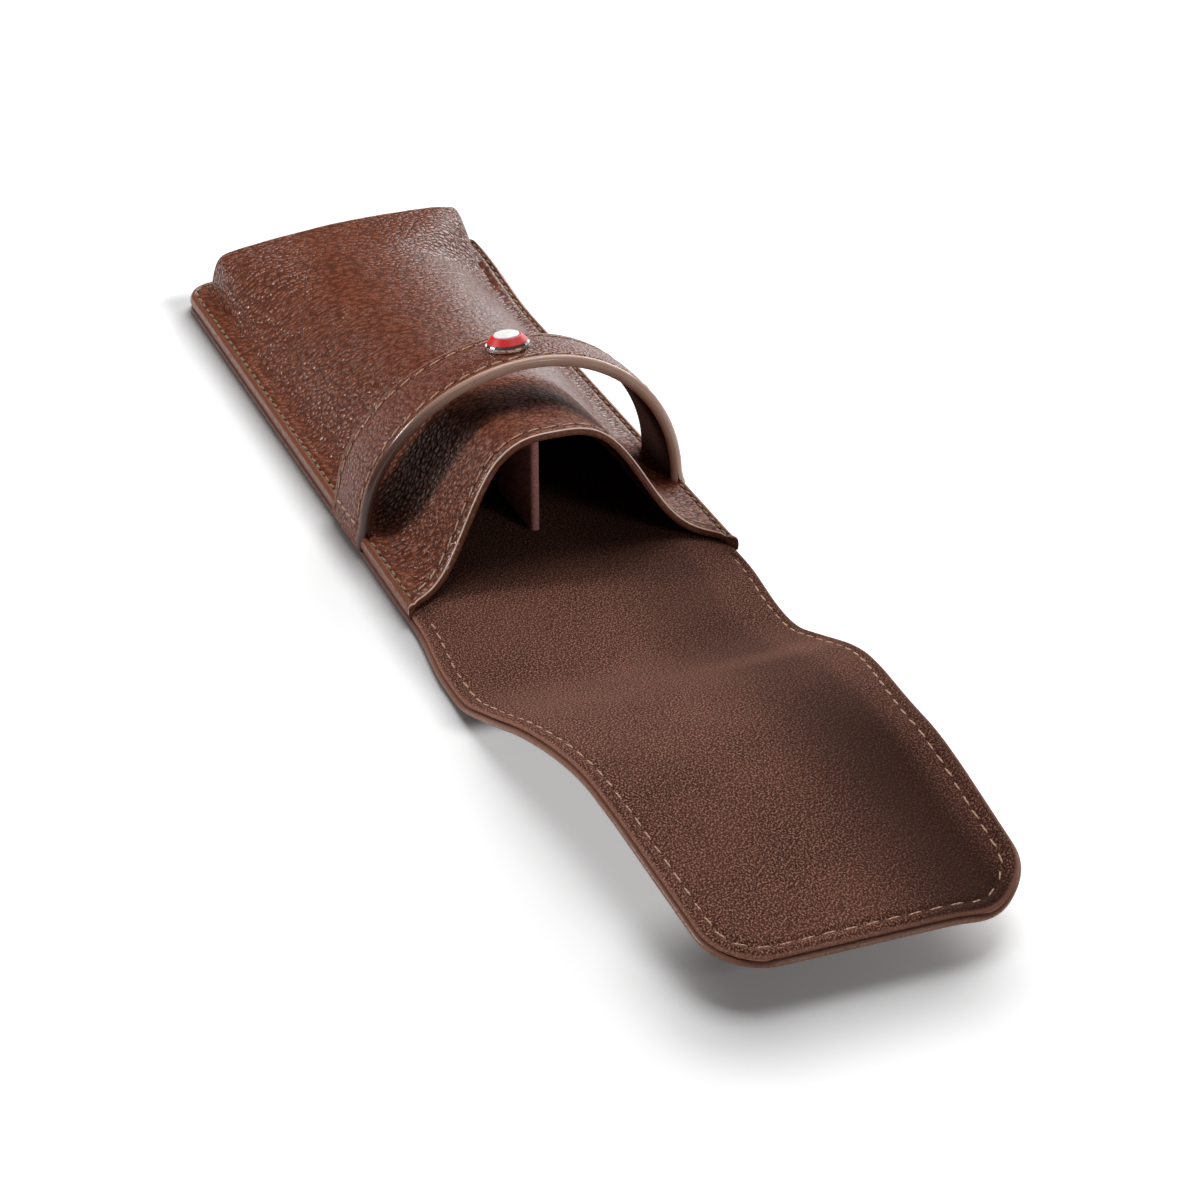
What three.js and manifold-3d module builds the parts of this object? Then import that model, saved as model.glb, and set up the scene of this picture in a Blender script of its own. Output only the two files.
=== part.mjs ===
// A leather pen case lying open: a moulded two-bay pocket, a holding strap and a long flap.
// Millimetres. X runs across the case, Y from the mouth to the closed end, Z up from the table.
import * as THREE from "three";
import { mergeVertices } from "three/addons/utils/BufferGeometryUtils.js";
import Module from "manifold-3d";

const wasm = await Module();
wasm.setup();

// Layers, from the table up
const backLeather = 1.2;
const backLining = 0.7;
const frontLining = 0.5;
const frontLeather = 1;
const glueGap = 0.1;

// Pocket
const caseWidth = 56;
const pocketLength = 129;
const endCornerRadius = 6;
const mouthCrown = 24.6;
const endCrown = 15.4;
const mouthHalfWidth = 14.6; // of the mouth, at half its height
const mouthFlange = 1; // flat beside the arch: at the mouth, mid-way, at the end
const bodyFlange = 3;
const endFlange = 3.8;
const mouthFullness = 3.2; // how square the arch is
const bodyFullness = 2.2;
const endFullness = 9;
const mouthFlare = 4.4; // how softly it runs out into the flange
const bodyFlare = 1.25;
const endFlare = 1.1;
const squareRun = 20; // before the end wall, where the arch turns square
const endWallSetIn = 4.2; // from the closed end to the middle of the end wall
const endWallSoftness = 0.5;
const swellFade = 2; // how fast the mouth's swell dies away behind it
const mouthSetBack = 5; // the mouth's edge over the arch, behind its two corners
const mouthCornerRun = 4;

// Divider between the two bays
const dividerThickness = 1.6;
const dividerFootWidth = 4.5;
const dividerFootThickness = 0.7;
const dividerSetBack = 12; // behind the mouth's edge
const dividerEndGap = 6; // before the end wall
const dividerClearance = 0.3;

// Holding strap
const strapSetBack = 22; // from the mouth to the strap's near edge
const strapWidth = 14.4;
const strapRise = 6; // clear height over the pocket's crown
const strapLean = 1.6; // sideways, at the top
const strapSetIn = 0.2; // from the case's edge to the strap's leg
const strapSeat = 0.3; // gap between its feet and the flange
const strapLeather = 0.9;
const strapCore = 0.3;
const strapLining = 0.6;
const tabThickness = 0.6; // the strap's leather, pared thin where it wraps the case's edge
const tabGap = 0.15;
const tabFoot = 0.3;
const tabHeel = 1.4; // height over the feet where the tab begins
const strapFootSeamRise = 2.8; // height of the stitch row at each foot
const strapSeamRise = 5.6; // height where the two long rows begin

// Button riveted through the strap
const buttonRadius = 3.6;
const buttonRimHeight = 0.9;
const buttonRimChamfer = 0.25;
const buttonHeight = 1.75;
const enamelTopRadius = 2.4;
const discRadius = 2.1;
const discThickness = 0.7;
const enamelGap = 0.1;
const shankRadius = 0.9;
const shankClearance = 0.3;
const shankTail = 0.2; // peened below the washer
const washerRadius = 2.6;
const washerThickness = 0.5;
const washerSeat = 0.3; // below the strap's curved underside
const buttonSides = 24;

// Flap, measured along its sheet from the mouth
const flapRoot = 25; // lies flat on the table
const flapRise = THREE.MathUtils.degToRad(19);
const flapRiseRadius = 25;
const flapSlope = 12.5;
const flapCrestRadius = 80;
const flapDroop = THREE.MathUtils.degToRad(7);
const flapTipRun = 31;
const flapShoulderFrom = 41;
const flapShoulderTo = 75;
const flapShoulder = 2.8;
const flapTaper = 2;
const tipCornerRadius = 11;
const bendSpacing = 11;
const bendCount = 5;
const bendGap = 0.5;
const liningInset = 0.7;

// Thread
const threadWidth = 0.5;
const threadLift = 0.3;
const threadSides = 5;
const threadStep = 2;
const seamInset = 1.3;
const mouthSeamInset = 3;
const strapSeamInset = 2.1;
const flapSeamInset = 2.7;
const threadEndGap = 1.3;

// Worked out from the sizes above
const half = caseWidth / 2;
const sheetThickness = backLeather + glueGap + backLining;
const pocketFloor = sheetThickness + glueGap;
const flangeTop = pocketFloor + frontLining + glueGap + frontLeather;
const endWallAt = pocketLength - endWallSetIn;
const strapThickness = strapLeather + glueGap + strapCore + glueGap + strapLining;
const strapFoot = flangeTop + strapSeat;
const crestSpan = flapCrestRadius * (flapRise + flapDroop);
const riseSpan = flapRiseRadius * flapRise;
const flapLength = flapRoot + riseSpan + flapSlope + crestSpan + flapTipRun;
const threadSeat = threadLift + threadWidth / 2;
const { lerp, clamp, smoothstep } = THREE.MathUtils;
const point = (x, y, z) => new THREE.Vector3(x, y, z);

const leatherBrown = { color: 0x6b3f2f, roughness: 0.55 };
const suedeBrown = { color: 0x553a30, roughness: 0.95 };
const dividerMauve = { color: 0x8d5a58, roughness: 0.85 };
const strapEdge = { color: 0x9b7a6c, roughness: 0.6 };
const coreTan = { color: 0x7a6a55, roughness: 0.9 };
const threadBeige = { color: 0xd8b89a, roughness: 0.8 };
const chrome = { color: 0xd9d9dc, roughness: 0.12, metalness: 1 };
const redEnamel = { color: 0xd8181c, roughness: 0.15 };
const whiteEnamel = { color: 0xf4f4f4, roughness: 0.15 };

function part(name, geometry, finish, group) {
  const mesh = new THREE.Mesh(geometry, new THREE.MeshStandardMaterial(finish));
  mesh.name = name;
  group.add(mesh);
}

// A closed skin between two matching grids of points, each grid[row][column].
function slab(upper, lower) {
  const rows = upper.length;
  const columns = upper[0].length;
  const at = (layer, row, column) => (layer * rows + row) * columns + column;
  const index = [];
  const quad = (a, b, c, d) => index.push(a, b, c, a, c, d);
  const lastRow = rows - 1;
  const lastColumn = columns - 1;
  for (let row = 0; row < lastRow; row++) {
    const below = row + 1;
    for (let column = 0; column < lastColumn; column++) {
      const next = column + 1;
      quad(at(0, row, column), at(0, row, next), at(0, below, next), at(0, below, column));
      quad(at(1, row, column), at(1, below, column), at(1, below, next), at(1, row, next));
    }
    quad(at(0, row, 0), at(0, below, 0), at(1, below, 0), at(1, row, 0));
    quad(at(0, row, lastColumn), at(1, row, lastColumn), at(1, below, lastColumn), at(0, below, lastColumn));
  }
  for (let column = 0; column < lastColumn; column++) {
    const next = column + 1;
    quad(at(0, 0, column), at(1, 0, column), at(1, 0, next), at(0, 0, next));
    quad(at(0, lastRow, column), at(0, lastRow, next), at(1, lastRow, next), at(1, lastRow, column));
  }
  const corners = [...upper, ...lower].flat();
  const inward = index.reduce((sum, _, i) => (i % 3 ? sum : sum + spanned(corners, index, i)), 0) < 0;
  const geometry = new THREE.BufferGeometry().setFromPoints(corners);
  geometry.setIndex(inward ? index.reverse() : index);
  geometry.computeVertexNormals();
  return geometry;
}

// Six times the volume that a triangle spans with the origin.
function spanned(corners, index, first) {
  const [a, b, c] = [0, 1, 2].map((k) => corners[index[first + k]]);
  return a.dot(b.clone().cross(c));
}

function solidOf(geometry) {
  const bare = geometry.clone();
  bare.deleteAttribute("normal");
  bare.deleteAttribute("uv");
  const merged = mergeVertices(bare);
  const vertProperties = merged.attributes.position.array;
  const triVerts = new Uint32Array(merged.index.array);
  return new wasm.Manifold(new wasm.Mesh({ numProp: 3, vertProperties, triVerts }));
}

function geometryOf(solid) {
  const mesh = solid.getMesh();
  const geometry = new THREE.BufferGeometry();
  geometry.setAttribute("position", new THREE.BufferAttribute(mesh.vertProperties, 3));
  geometry.setIndex(new THREE.BufferAttribute(mesh.triVerts, 1));
  geometry.computeVertexNormals();
  return geometry;
}

// A thread through the given points, as one closed tube.
function thread(name, points, group) {
  const curve = new THREE.CatmullRomCurve3(points);
  const ring = Array.from({ length: threadSides }, (_, i) => {
    const turn = (2 * Math.PI * i) / threadSides;
    return new THREE.Vector2(Math.cos(turn), Math.sin(turn)).multiplyScalar(threadWidth / 2);
  });
  const steps = Math.ceil(curve.getLength() / threadStep);
  const tube = new THREE.ExtrudeGeometry(new THREE.Shape(ring), { extrudePath: curve, steps });
  part(name, tube, threadBeige, group);
}

function evenly(from, to, count) {
  return Array.from({ length: count }, (_, i) => lerp(from, to, i / (count - 1)));
}

// Distances along a run that ends in a rounded corner, coarse on the straight and fine round the corner.
function cornerRun(from, to, radius, straightCount) {
  const arc = evenly(0, Math.PI / 2, 7).map((turn) => to - radius + radius * Math.sin(turn));
  return [...evenly(from, to - radius, straightCount).slice(0, -1), ...arc];
}

const rounded = (along, end, radius, inset) => {
  const past = along - (end - radius);
  return past > 0 ? radius - Math.sqrt(Math.max(0, (radius - inset) ** 2 - past ** 2)) : inset;
};

// Half the case's width at a distance behind the mouth, and half the flap's width along its sheet.
const pocketHalf = (y, inset) => half - rounded(y, pocketLength, endCornerRadius, inset);
function flapHalf(along, inset) {
  const narrowed = flapShoulder * smoothstep(along, flapShoulderFrom, flapShoulderTo);
  const tapered = flapTaper * clamp((along - flapShoulderTo) / (flapLength - flapShoulderTo), 0, 1);
  return half - narrowed - tapered - rounded(along, flapLength, tipCornerRadius, inset);
}

// The underside of the flap's sheet: a point on it and the way it faces up.
function flapAt(along) {
  const place = { y: 0, z: 0, turn: 0 };
  const run = (length) => {
    place.y -= length * Math.cos(place.turn);
    place.z += length * Math.sin(place.turn);
  };
  const bend = (length, radius, way) => {
    const after = place.turn + (way * length) / radius;
    place.y -= way * radius * (Math.sin(after) - Math.sin(place.turn));
    place.z += way * radius * (Math.cos(place.turn) - Math.cos(after));
    place.turn = after;
  };
  let left = along;
  const spend = (length) => {
    const used = clamp(left, 0, length);
    left -= used;
    return used;
  };
  run(along < 0 ? along : spend(flapRoot));
  bend(spend(riseSpan), flapRiseRadius, 1);
  run(spend(flapSlope));
  bend(spend(crestSpan), flapCrestRadius, -1);
  run(spend(flapTipRun));
  return place;
}

function flapPoint(x, along, height) {
  const { y, z, turn } = flapAt(along);
  return point(x, y + height * Math.sin(turn), z + height * Math.cos(turn));
}

// A layer of the back sheet between two heights over its underside.
function sheetLayer(stations, halfWidth, inset, low, high) {
  const grid = (height) => stations.map((along) => {
    const reach = halfWidth(along, inset);
    return [flapPoint(-reach, along, height), flapPoint(reach, along, height)];
  });
  return slab(grid(high), grid(low));
}

// The moulded pocket front: its crown, its arch and its end wall along Y.
const pastMouth = (y) => clamp((y - mouthSetBack) / (endWallAt - mouthSetBack), 0, 1);
const mouthShare = (y) => (1 - pastMouth(y)) ** swellFade;
const crownAt = (y) => lerp(endCrown, mouthCrown, mouthShare(y));
const squareShare = (y) => smoothstep(y, endWallAt - squareRun, endWallAt);
const blended = (y, mouth, body, end) => lerp(lerp(body, mouth, mouthShare(y)), end, squareShare(y));
const footAt = (y) => half - blended(y, mouthFlange, bodyFlange, endFlange);
const endFall = (y) => 1 / (1 + Math.exp((y - endWallAt) / endWallSoftness));

function roof(x, y) {
  const out = Math.min(1, Math.abs(x) / footAt(y));
  const full = blended(y, mouthFullness, bodyFullness, endFullness);
  const rise = (1 - out ** full) ** blended(y, mouthFlare, bodyFlare, endFlare);
  return flangeTop + (crownAt(y) - flangeTop) * endFall(y) * rise;
}

// A point at some depth below the pocket front's outer face, square to it.
function frontPoint(x, y, depth) {
  const reach = 0.01;
  const slopeX = (roof(x + reach, y) - roof(x - reach, y)) / (2 * reach);
  const slopeY = (roof(x, y + reach) - roof(x, y - reach)) / (2 * reach);
  const outward = point(-slopeX, -slopeY, 1).normalize();
  return point(x, y, roof(x, y)).addScaledVector(outward, -depth);
}

const mouthEdge = (x) => {
  return mouthSetBack * (1 - smoothstep(Math.abs(x), mouthHalfWidth, half - mouthCornerRun));
};

const roofShares = [0, 0.2, 0.38, 0.53, 0.66, 0.77, 0.86, 0.925, 0.97, 1];
const flangeShares = [0.5, 1];
const endShares = [2.2, 1.6, 1.35, 1.2, 1.1, 1, 0.9, 0.8, 0.65, 0.4, 0.22, 0];

function frontLayer(inset, low, high) {
  const endRows = endShares.map((share) => pocketLength - endWallSetIn * share);
  const near = evenly(2 * mouthSetBack, endRows[0], 12);
  const rows = [0, ...near.slice(0, -1), ...endRows];
  const grid = (depth) => rows.map((row) => {
    const y = Math.min(row, pocketLength - inset);
    const foot = Math.min(footAt(y), pocketHalf(y, 0) - half + footAt(y));
    const edge = pocketHalf(y, inset);
    const onRoof = roofShares.map((share) => foot * share);
    const onFlange = flangeShares.map((share) => lerp(onRoof.at(-1), edge, share));
    const side = [...onRoof, ...onFlange];
    const across = [...side.slice(1).reverse().map((x) => -x), ...side];
    return across.map((x) => frontPoint(x, row ? y : mouthEdge(x), depth));
  });
  return slab(grid(low), grid(high));
}

// The strap's outer face: turn runs from the left foot over the top to the right foot, across 0 to 1.
function strapPoint(turn, across, depth) {
  const y = strapSetBack + across * strapWidth;
  const span = half - strapSetIn;
  const rise = crownAt(y) + strapRise + strapThickness - strapFoot;
  const x = -span * Math.cos(turn) + strapLean * Math.sin(turn) ** 2;
  const z = strapFoot + rise * Math.sin(turn);
  const alongX = span * Math.sin(turn) + strapLean * Math.sin(2 * turn);
  const outward = point(-rise * Math.cos(turn), 0, alongX).normalize();
  return point(x, y, z).addScaledVector(outward, -depth);
}

// The turn at which the strap's near edge stands some height over its feet.
function turnAt(height) {
  return Math.asin(height / (strapPoint(Math.PI / 2, 0, 0).z - strapFoot));
}

const strapAcross = [0, 1];
const strapRow = (turn, depth) => strapAcross.map((across) => strapPoint(turn, across, depth));
const strapTurns = (from) => evenly(from, Math.PI - from, 27);

function strapLayer(low, high) {
  const grid = (depth) => strapTurns(0).map((turn) => strapRow(turn, depth));
  return slab(grid(low), grid(high));
}

// The strap's leather goes on past its feet and wraps the case's edge as a pared tab.
function strapOuter() {
  const tabY = strapAcross.map((across) => strapSetBack + across * strapWidth);
  const tab = (side, x, z) => tabY.map((y) => point(side * x, y, z));
  const grid = (depth, tabX, tabTop) => [
    tab(-1, tabX, tabFoot),
    tab(-1, tabX, tabTop),
    ...strapTurns(turnAt(tabHeel)).map((turn) => strapRow(turn, depth)),
    tab(1, tabX, tabTop),
    tab(1, tabX, tabFoot),
  ];
  const inside = half + tabGap;
  return slab(grid(0, inside + tabThickness, flangeTop), grid(strapLeather, inside, flangeTop + tabGap));
}

// The button stands square on the strap, halfway between the two feet.
function buttonPlace() {
  const middle = Math.PI / 2;
  const nudge = 0.01;
  const turn = middle - strapLean / (half - strapSetIn);
  const seat = strapPoint(turn, 0.5, 0);
  const alongX = strapPoint(turn + nudge, 0.5, 0).sub(seat);
  const alongY = strapPoint(turn, 0.5 + nudge, 0).sub(seat);
  const up = alongX.cross(alongY).normalize();
  const group = new THREE.Group();
  group.position.copy(seat);
  group.quaternion.setFromUnitVectors(point(0, 0, 1), up);
  group.updateMatrix();
  return group;
}

function turned(profile) {
  const outline = profile.map(([radius, height]) => new THREE.Vector2(radius, height));
  return new THREE.LatheGeometry(outline, buttonSides).rotateX(Math.PI / 2);
}

const pocket = new THREE.Group();

// Back sheet under the pocket, with the flap's flat root
const rootEnd = flapRoot - bendGap / 2;
const pocketStations = cornerRun(0, pocketLength, endCornerRadius, 2);
const backStations = (inset) => [rootEnd, ...pocketStations.map((y) => -Math.min(y, pocketLength - inset))];
const backHalf = (along, inset) => (along > 0 ? flapHalf(along, inset) : pocketHalf(-along, inset));
const backLayer = (inset, low, high) => sheetLayer(backStations(inset), backHalf, inset, low, high);
part("back_leather", backLayer(0, 0, backLeather), leatherBrown, pocket);
part("back_lining", backLayer(liningInset, backLeather + glueGap, sheetThickness), suedeBrown, pocket);

// Moulded front and its lining
const frontLiningDepth = frontLeather + glueGap;
part("front_panel", frontLayer(0, 0, frontLeather), leatherBrown, pocket);
const frontDepth = frontLiningDepth + frontLining;
part("front_lining", frontLayer(liningInset, frontLiningDepth, frontDepth), suedeBrown, pocket);

// Divider: an upright web on a glued foot, its top edge following the pocket's roof
function divider() {
  const from = mouthSetBack + dividerSetBack;
  const depth = endWallAt - dividerEndGap - from;
  const foot = pocketFloor + dividerFootThickness;
  const side = dividerThickness / 2;
  const top = 2 * foot;
  const section = [
    [-side, pocketFloor],
    [side + dividerFootWidth, pocketFloor],
    [side + dividerFootWidth, foot],
    [side, foot],
    [side, top],
    [-side, top],
  ].map(([x, z]) => new THREE.Vector2(x, z));
  const settings = { depth, steps: 10, bevelEnabled: false };
  const geometry = new THREE.ExtrudeGeometry(new THREE.Shape(section), settings);
  geometry.rotateX(Math.PI / 2).translate(0, from + depth, 0);
  const place = geometry.attributes.position;
  const ceiling = frontDepth + dividerClearance;
  for (let i = 0; i < place.count; i++) {
    if (place.getZ(i) > foot + glueGap) place.setZ(i, frontPoint(side, place.getY(i), ceiling).z);
  }
  geometry.computeVertexNormals();
  return geometry;
}
part("divider", divider(), dividerMauve, pocket);

// Strap, with the rivet's hole through its three layers
const button = buttonPlace();
const shankHole = new THREE.CylinderGeometry(
  shankRadius + shankClearance,
  shankRadius + shankClearance,
  4 * strapThickness,
  buttonSides,
);
shankHole.rotateX(Math.PI / 2).applyMatrix4(button.matrix);
const pierced = (geometry) => geometryOf(solidOf(geometry).subtract(solidOf(shankHole)));
const coreDepth = strapLeather + glueGap;
const liningDepth = coreDepth + strapCore + glueGap;
part("strap_leather", pierced(strapOuter()), leatherBrown, pocket);
part("strap_core", pierced(strapLayer(coreDepth, coreDepth + strapCore)), coreTan, pocket);
part("strap_lining", pierced(strapLayer(liningDepth, strapThickness)), strapEdge, pocket);

// Button: chrome base with its shank, red enamel ring, white enamel disc, washer under the strap
const rimFoot = glueGap;
const rimTop = rimFoot + buttonRimHeight;
const washerTop = -strapThickness - washerSeat;
const shankEnd = washerTop - washerThickness - shankTail;
const bossRadius = discRadius;
const bossTop = rimFoot + buttonHeight - discThickness;
const enamelFoot = rimTop + enamelGap;
const enamelTop = rimFoot + buttonHeight;
part("button_base", turned([
  [0, shankEnd],
  [shankRadius, shankEnd],
  [shankRadius, rimFoot],
  [buttonRadius, rimFoot],
  [buttonRadius, rimTop - buttonRimChamfer],
  [buttonRadius - buttonRimChamfer, rimTop],
  [bossRadius, rimTop],
  [bossRadius, bossTop],
  [0, bossTop],
]), chrome, button);
part("button_red_ring", turned([
  [bossRadius + enamelGap, enamelFoot],
  [buttonRadius - buttonRimChamfer, enamelFoot],
  [enamelTopRadius, enamelTop],
  [bossRadius + enamelGap, enamelTop],
  [bossRadius + enamelGap, enamelFoot],
]), redEnamel, button);
part("button_white_disc", turned([
  [0, bossTop + enamelGap],
  [discRadius, bossTop + enamelGap],
  [discRadius, enamelTop],
  [0, enamelTop],
]), whiteEnamel, button);
part("button_washer", turned([
  [shankRadius + enamelGap, washerTop - washerThickness],
  [washerRadius, washerTop - washerThickness],
  [washerRadius, washerTop],
  [shankRadius + enamelGap, washerTop],
  [shankRadius + enamelGap, washerTop - washerThickness],
]), chrome, button);
pocket.add(button);

// Seams of the pocket: round the flange, along the mouth and on the strap
const seamX = half - seamInset;
const onFront = (x, y) => frontPoint(x, y, -threadSeat);
const strapFar = strapSetBack + strapWidth;
for (const [name, side] of [["left", -1], ["right", 1]]) {
  const run = evenly(threadEndGap, strapSetBack - threadEndGap, 4);
  thread(`seam_thread_${name}`, run.map((y) => onFront(side * seamX, y)), pocket);
  const foot = evenly(threadEndGap, strapWidth - threadEndGap, 3);
  const legTurn = turnAt(strapFootSeamRise);
  const turn = side < 0 ? legTurn : Math.PI - legTurn;
  const onLeg = (y) => strapPoint(turn, y / strapWidth, -threadSeat);
  thread(`strap_foot_thread_${name}`, foot.map(onLeg), pocket);
}
const seamRun = cornerRun(strapFar + threadEndGap, pocketLength, endCornerRadius, 5);
const seamSide = seamRun.map((y) => Math.min(y, pocketLength - seamInset)).map((y) => {
  return onFront(pocketHalf(y, seamInset), y);
});
const mirrored = (points) => points.map((p) => point(-p.x, p.y, p.z)).reverse();
thread("seam_thread_rear", [...seamSide.slice(0, -1), ...mirrored(seamSide.slice(0, -1))], pocket);
const mouthRun = evenly(-seamX + threadEndGap, seamX - threadEndGap, 41);
thread("mouth_thread", mouthRun.map((x) => onFront(x, mouthEdge(x) + mouthSeamInset)), pocket);
const seamAcross = strapSeamInset / strapWidth;
for (const [name, across] of [["near", seamAcross], ["far", 1 - seamAcross]]) {
  const turns = evenly(turnAt(strapSeamRise), Math.PI - turnAt(strapSeamRise), 17);
  thread(`strap_thread_${name}`, turns.map((turn) => strapPoint(turn, across, -threadSeat)), pocket);
}

// Flap: stiff strips that turn on each other along bend lines, and the lid at its end
const flapThreadHeight = sheetThickness + threadSeat;
const bends = evenly(flapRoot, flapRoot + bendSpacing * (bendCount - 1), bendCount);
const sideThread = (name, from, to, side, group) => {
  const run = evenly(from + threadEndGap, to - threadEndGap, 4);
  const place = (along) => flapPoint(side * flapHalf(along, flapSeamInset), along, flapThreadHeight);
  thread(name, run.map(place), group);
};
for (const [name, side] of [["left", -1], ["right", 1]]) {
  sideThread(`flap_root_thread_${name}`, 0, rootEnd, side, pocket);
}

function strip(name, stations, group) {
  const lining = stations.map((along) => Math.min(along, flapLength - liningInset));
  const liningFoot = backLeather + glueGap;
  const leatherLayer = sheetLayer(stations, flapHalf, 0, 0, backLeather);
  const liningLayer = sheetLayer(lining, flapHalf, liningInset, liningFoot, sheetThickness);
  part(`${name}_leather`, leatherLayer, leatherBrown, group);
  part(`${name}_lining`, liningLayer, suedeBrown, group);
}

let carrier = pocket;
for (let i = 0; i < bendCount - 1; i++) {
  const bendGroup = new THREE.Group();
  const name = `flap_bend_${i + 1}`;
  const from = bends[i] + bendGap / 2;
  const to = bends[i + 1] - bendGap / 2;
  strip(name, evenly(from, to, 4), bendGroup);
  sideThread(`${name}_thread_left`, from, to, -1, bendGroup);
  sideThread(`${name}_thread_right`, from, to, 1, bendGroup);
  carrier.add(bendGroup);
  carrier = bendGroup;
}

const lid = new THREE.Group();
const lidFrom = bends[bendCount - 1] + bendGap / 2;
strip("flap_lid", cornerRun(lidFrom, flapLength, tipCornerRadius, 6), lid);
const lidRun = cornerRun(lidFrom + threadEndGap, flapLength, tipCornerRadius, 6);
const lidSide = lidRun.map((along) => Math.min(along, flapLength - flapSeamInset)).map((along) => {
  return flapPoint(flapHalf(along, flapSeamInset), along, flapThreadHeight);
});
thread("flap_lid_thread", [...lidSide.slice(0, -1), ...mirrored(lidSide.slice(0, -1))], lid);
carrier.add(lid);

// The origin is under the middle of the pocket, on the table.
const penCase = new THREE.Group();
pocket.position.y = -pocketLength / 2;
penCase.add(pocket);

export default penCase;
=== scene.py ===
import math

import bmesh
import bpy
import numpy as np
from mathutils import Matrix, Quaternion, Vector, noise


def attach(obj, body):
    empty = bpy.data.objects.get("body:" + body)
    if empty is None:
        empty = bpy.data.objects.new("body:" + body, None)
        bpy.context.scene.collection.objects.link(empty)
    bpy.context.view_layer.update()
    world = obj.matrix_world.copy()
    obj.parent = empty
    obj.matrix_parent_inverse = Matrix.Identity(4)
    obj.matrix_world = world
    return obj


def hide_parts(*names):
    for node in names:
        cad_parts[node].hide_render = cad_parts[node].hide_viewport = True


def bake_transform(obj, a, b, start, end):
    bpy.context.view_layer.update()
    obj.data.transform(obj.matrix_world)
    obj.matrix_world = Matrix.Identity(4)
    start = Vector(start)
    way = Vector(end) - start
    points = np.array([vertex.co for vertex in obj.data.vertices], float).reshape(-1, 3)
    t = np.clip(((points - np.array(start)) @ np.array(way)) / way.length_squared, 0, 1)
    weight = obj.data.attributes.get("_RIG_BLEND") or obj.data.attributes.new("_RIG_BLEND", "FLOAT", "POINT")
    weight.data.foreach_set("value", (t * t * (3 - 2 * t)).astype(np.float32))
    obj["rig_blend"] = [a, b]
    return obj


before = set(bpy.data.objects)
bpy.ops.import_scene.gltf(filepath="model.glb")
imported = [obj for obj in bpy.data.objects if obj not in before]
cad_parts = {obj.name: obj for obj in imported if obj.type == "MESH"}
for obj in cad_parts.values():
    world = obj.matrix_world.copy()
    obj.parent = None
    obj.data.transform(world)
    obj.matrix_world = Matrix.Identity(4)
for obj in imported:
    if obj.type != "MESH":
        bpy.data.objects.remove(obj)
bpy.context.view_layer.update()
print("frame loaded:", len(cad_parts), "nodes")

mm = 0.001
scene = bpy.context.scene
scene.view_settings.view_transform = "Standard"


# The case in millimetres, y from the mouth towards the closed end
case = {
    "width": 56, "pocket": 129, "endRadius": 6, "flangeTop": 3.7,
    "mouthCrown": 24.6, "endCrown": 15.0, "swellFrom": 5, "swellFade": 2,
    "foot": (27, 24.2), "full": (3.2, 2.6), "flare": (4.4, 1.0),  # at the mouth and along the body
    "endFoot": (23.7, 25.8), "endFull": (30, 20), "squareRun": (26, 20),  # the boxed end, left and right
    "sideBlend": 8, "leanFrom": 45, "sag": 0.12, "tilt": 0.15, "drop": 0.136,
    "endWall": 4.2, "endSoft": 0.22, "lipBack": 7.5,
    "lipLeft": (10, 9.5, 1.35), "lipRight": (17, 7.6, 2),  # from x, how far forward, how bent
    "curl": 2.5, "curlAcross": (21.5, 25.8), "curlRun": (92, 120),  # the right flange, lifted near its end
    "settle": 0.5, "settleFrom": 123,
    "rowShift": 64.5,  # the row's origin is under the middle of the pocket
}
half = case["width"] / 2
endWallAt = case["pocket"] - case["endWall"]


def smoothStep(value, low, high):
    share = np.clip((value - low) / (high - low), 0, 1)
    return share * share * (3 - 2 * share)


def thereAndBack(value, rising, falling):
    return smoothStep(value, *rising) * (1 - smoothStep(value, *falling))


def hump(value, at, width):
    return np.exp(-((value - at) / width) ** 2)


def mouthShare(y):
    past = np.clip((y - case["swellFrom"]) / (endWallAt - case["swellFrom"]), 0, 1)
    return (1 - past) ** case["swellFade"]


def crownAt(y):
    return case["endCrown"] + (case["mouthCrown"] - case["endCrown"]) * mouthShare(y)


def curlAt(x, y):
    settled = case["settle"] * smoothStep(y, case["settleFrom"], case["pocket"])
    along = smoothStep(y, *case["curlRun"]) * (1 - settled)
    return case["curl"] * smoothStep(x, *case["curlAcross"]) * along


def roof(x, y):
    share = mouthShare(y) ** 2
    leftRun, rightRun = case["squareRun"]
    run = leftRun + (rightRun - leftRun) * smoothStep(x, -case["sideBlend"], case["sideBlend"])
    square = smoothStep(y, endWallAt - run, endWallAt)

    def blended(name, end):
        mouth, body = case[name]
        return (body + (mouth - body) * share) ** (1 - square) * end ** square

    foot = blended("foot", np.where(x < 0, *case["endFoot"]))
    out = np.minimum(1, np.abs(x) / foot)
    rise = (1 - out ** blended("full", np.where(x < 0, *case["endFull"]))) ** blended("flare", 1)
    lean = case["tilt"] * np.sign(x) * out - case["drop"] * out ** 2 - case["sag"]
    lean = lean * smoothStep(y, case["leanFrom"], endWallAt)
    fall = 1 / (1 + np.exp(np.clip((y - endWallAt) / case["endSoft"], -40, 40)))
    high = (crownAt(y) - case["flangeTop"]) * fall * rise * (1 + lean)
    return case["flangeTop"] + high + curlAt(x, y)


def frontPoint(x, y, depth):  # square below the pocket front's outer face
    reach = 0.01
    slopeX = (roof(x + reach, y) - roof(x - reach, y)) / (2 * reach)
    slopeY = (roof(x, y + reach) - roof(x, y - reach)) / (2 * reach)
    size = np.sqrt(slopeX ** 2 + slopeY ** 2 + 1)
    out = np.stack([-slopeX / size, -slopeY / size, 1 / size], -1)
    return np.stack([x, y, roof(x, y)], -1) - out * np.asarray(depth)[..., None]


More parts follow.
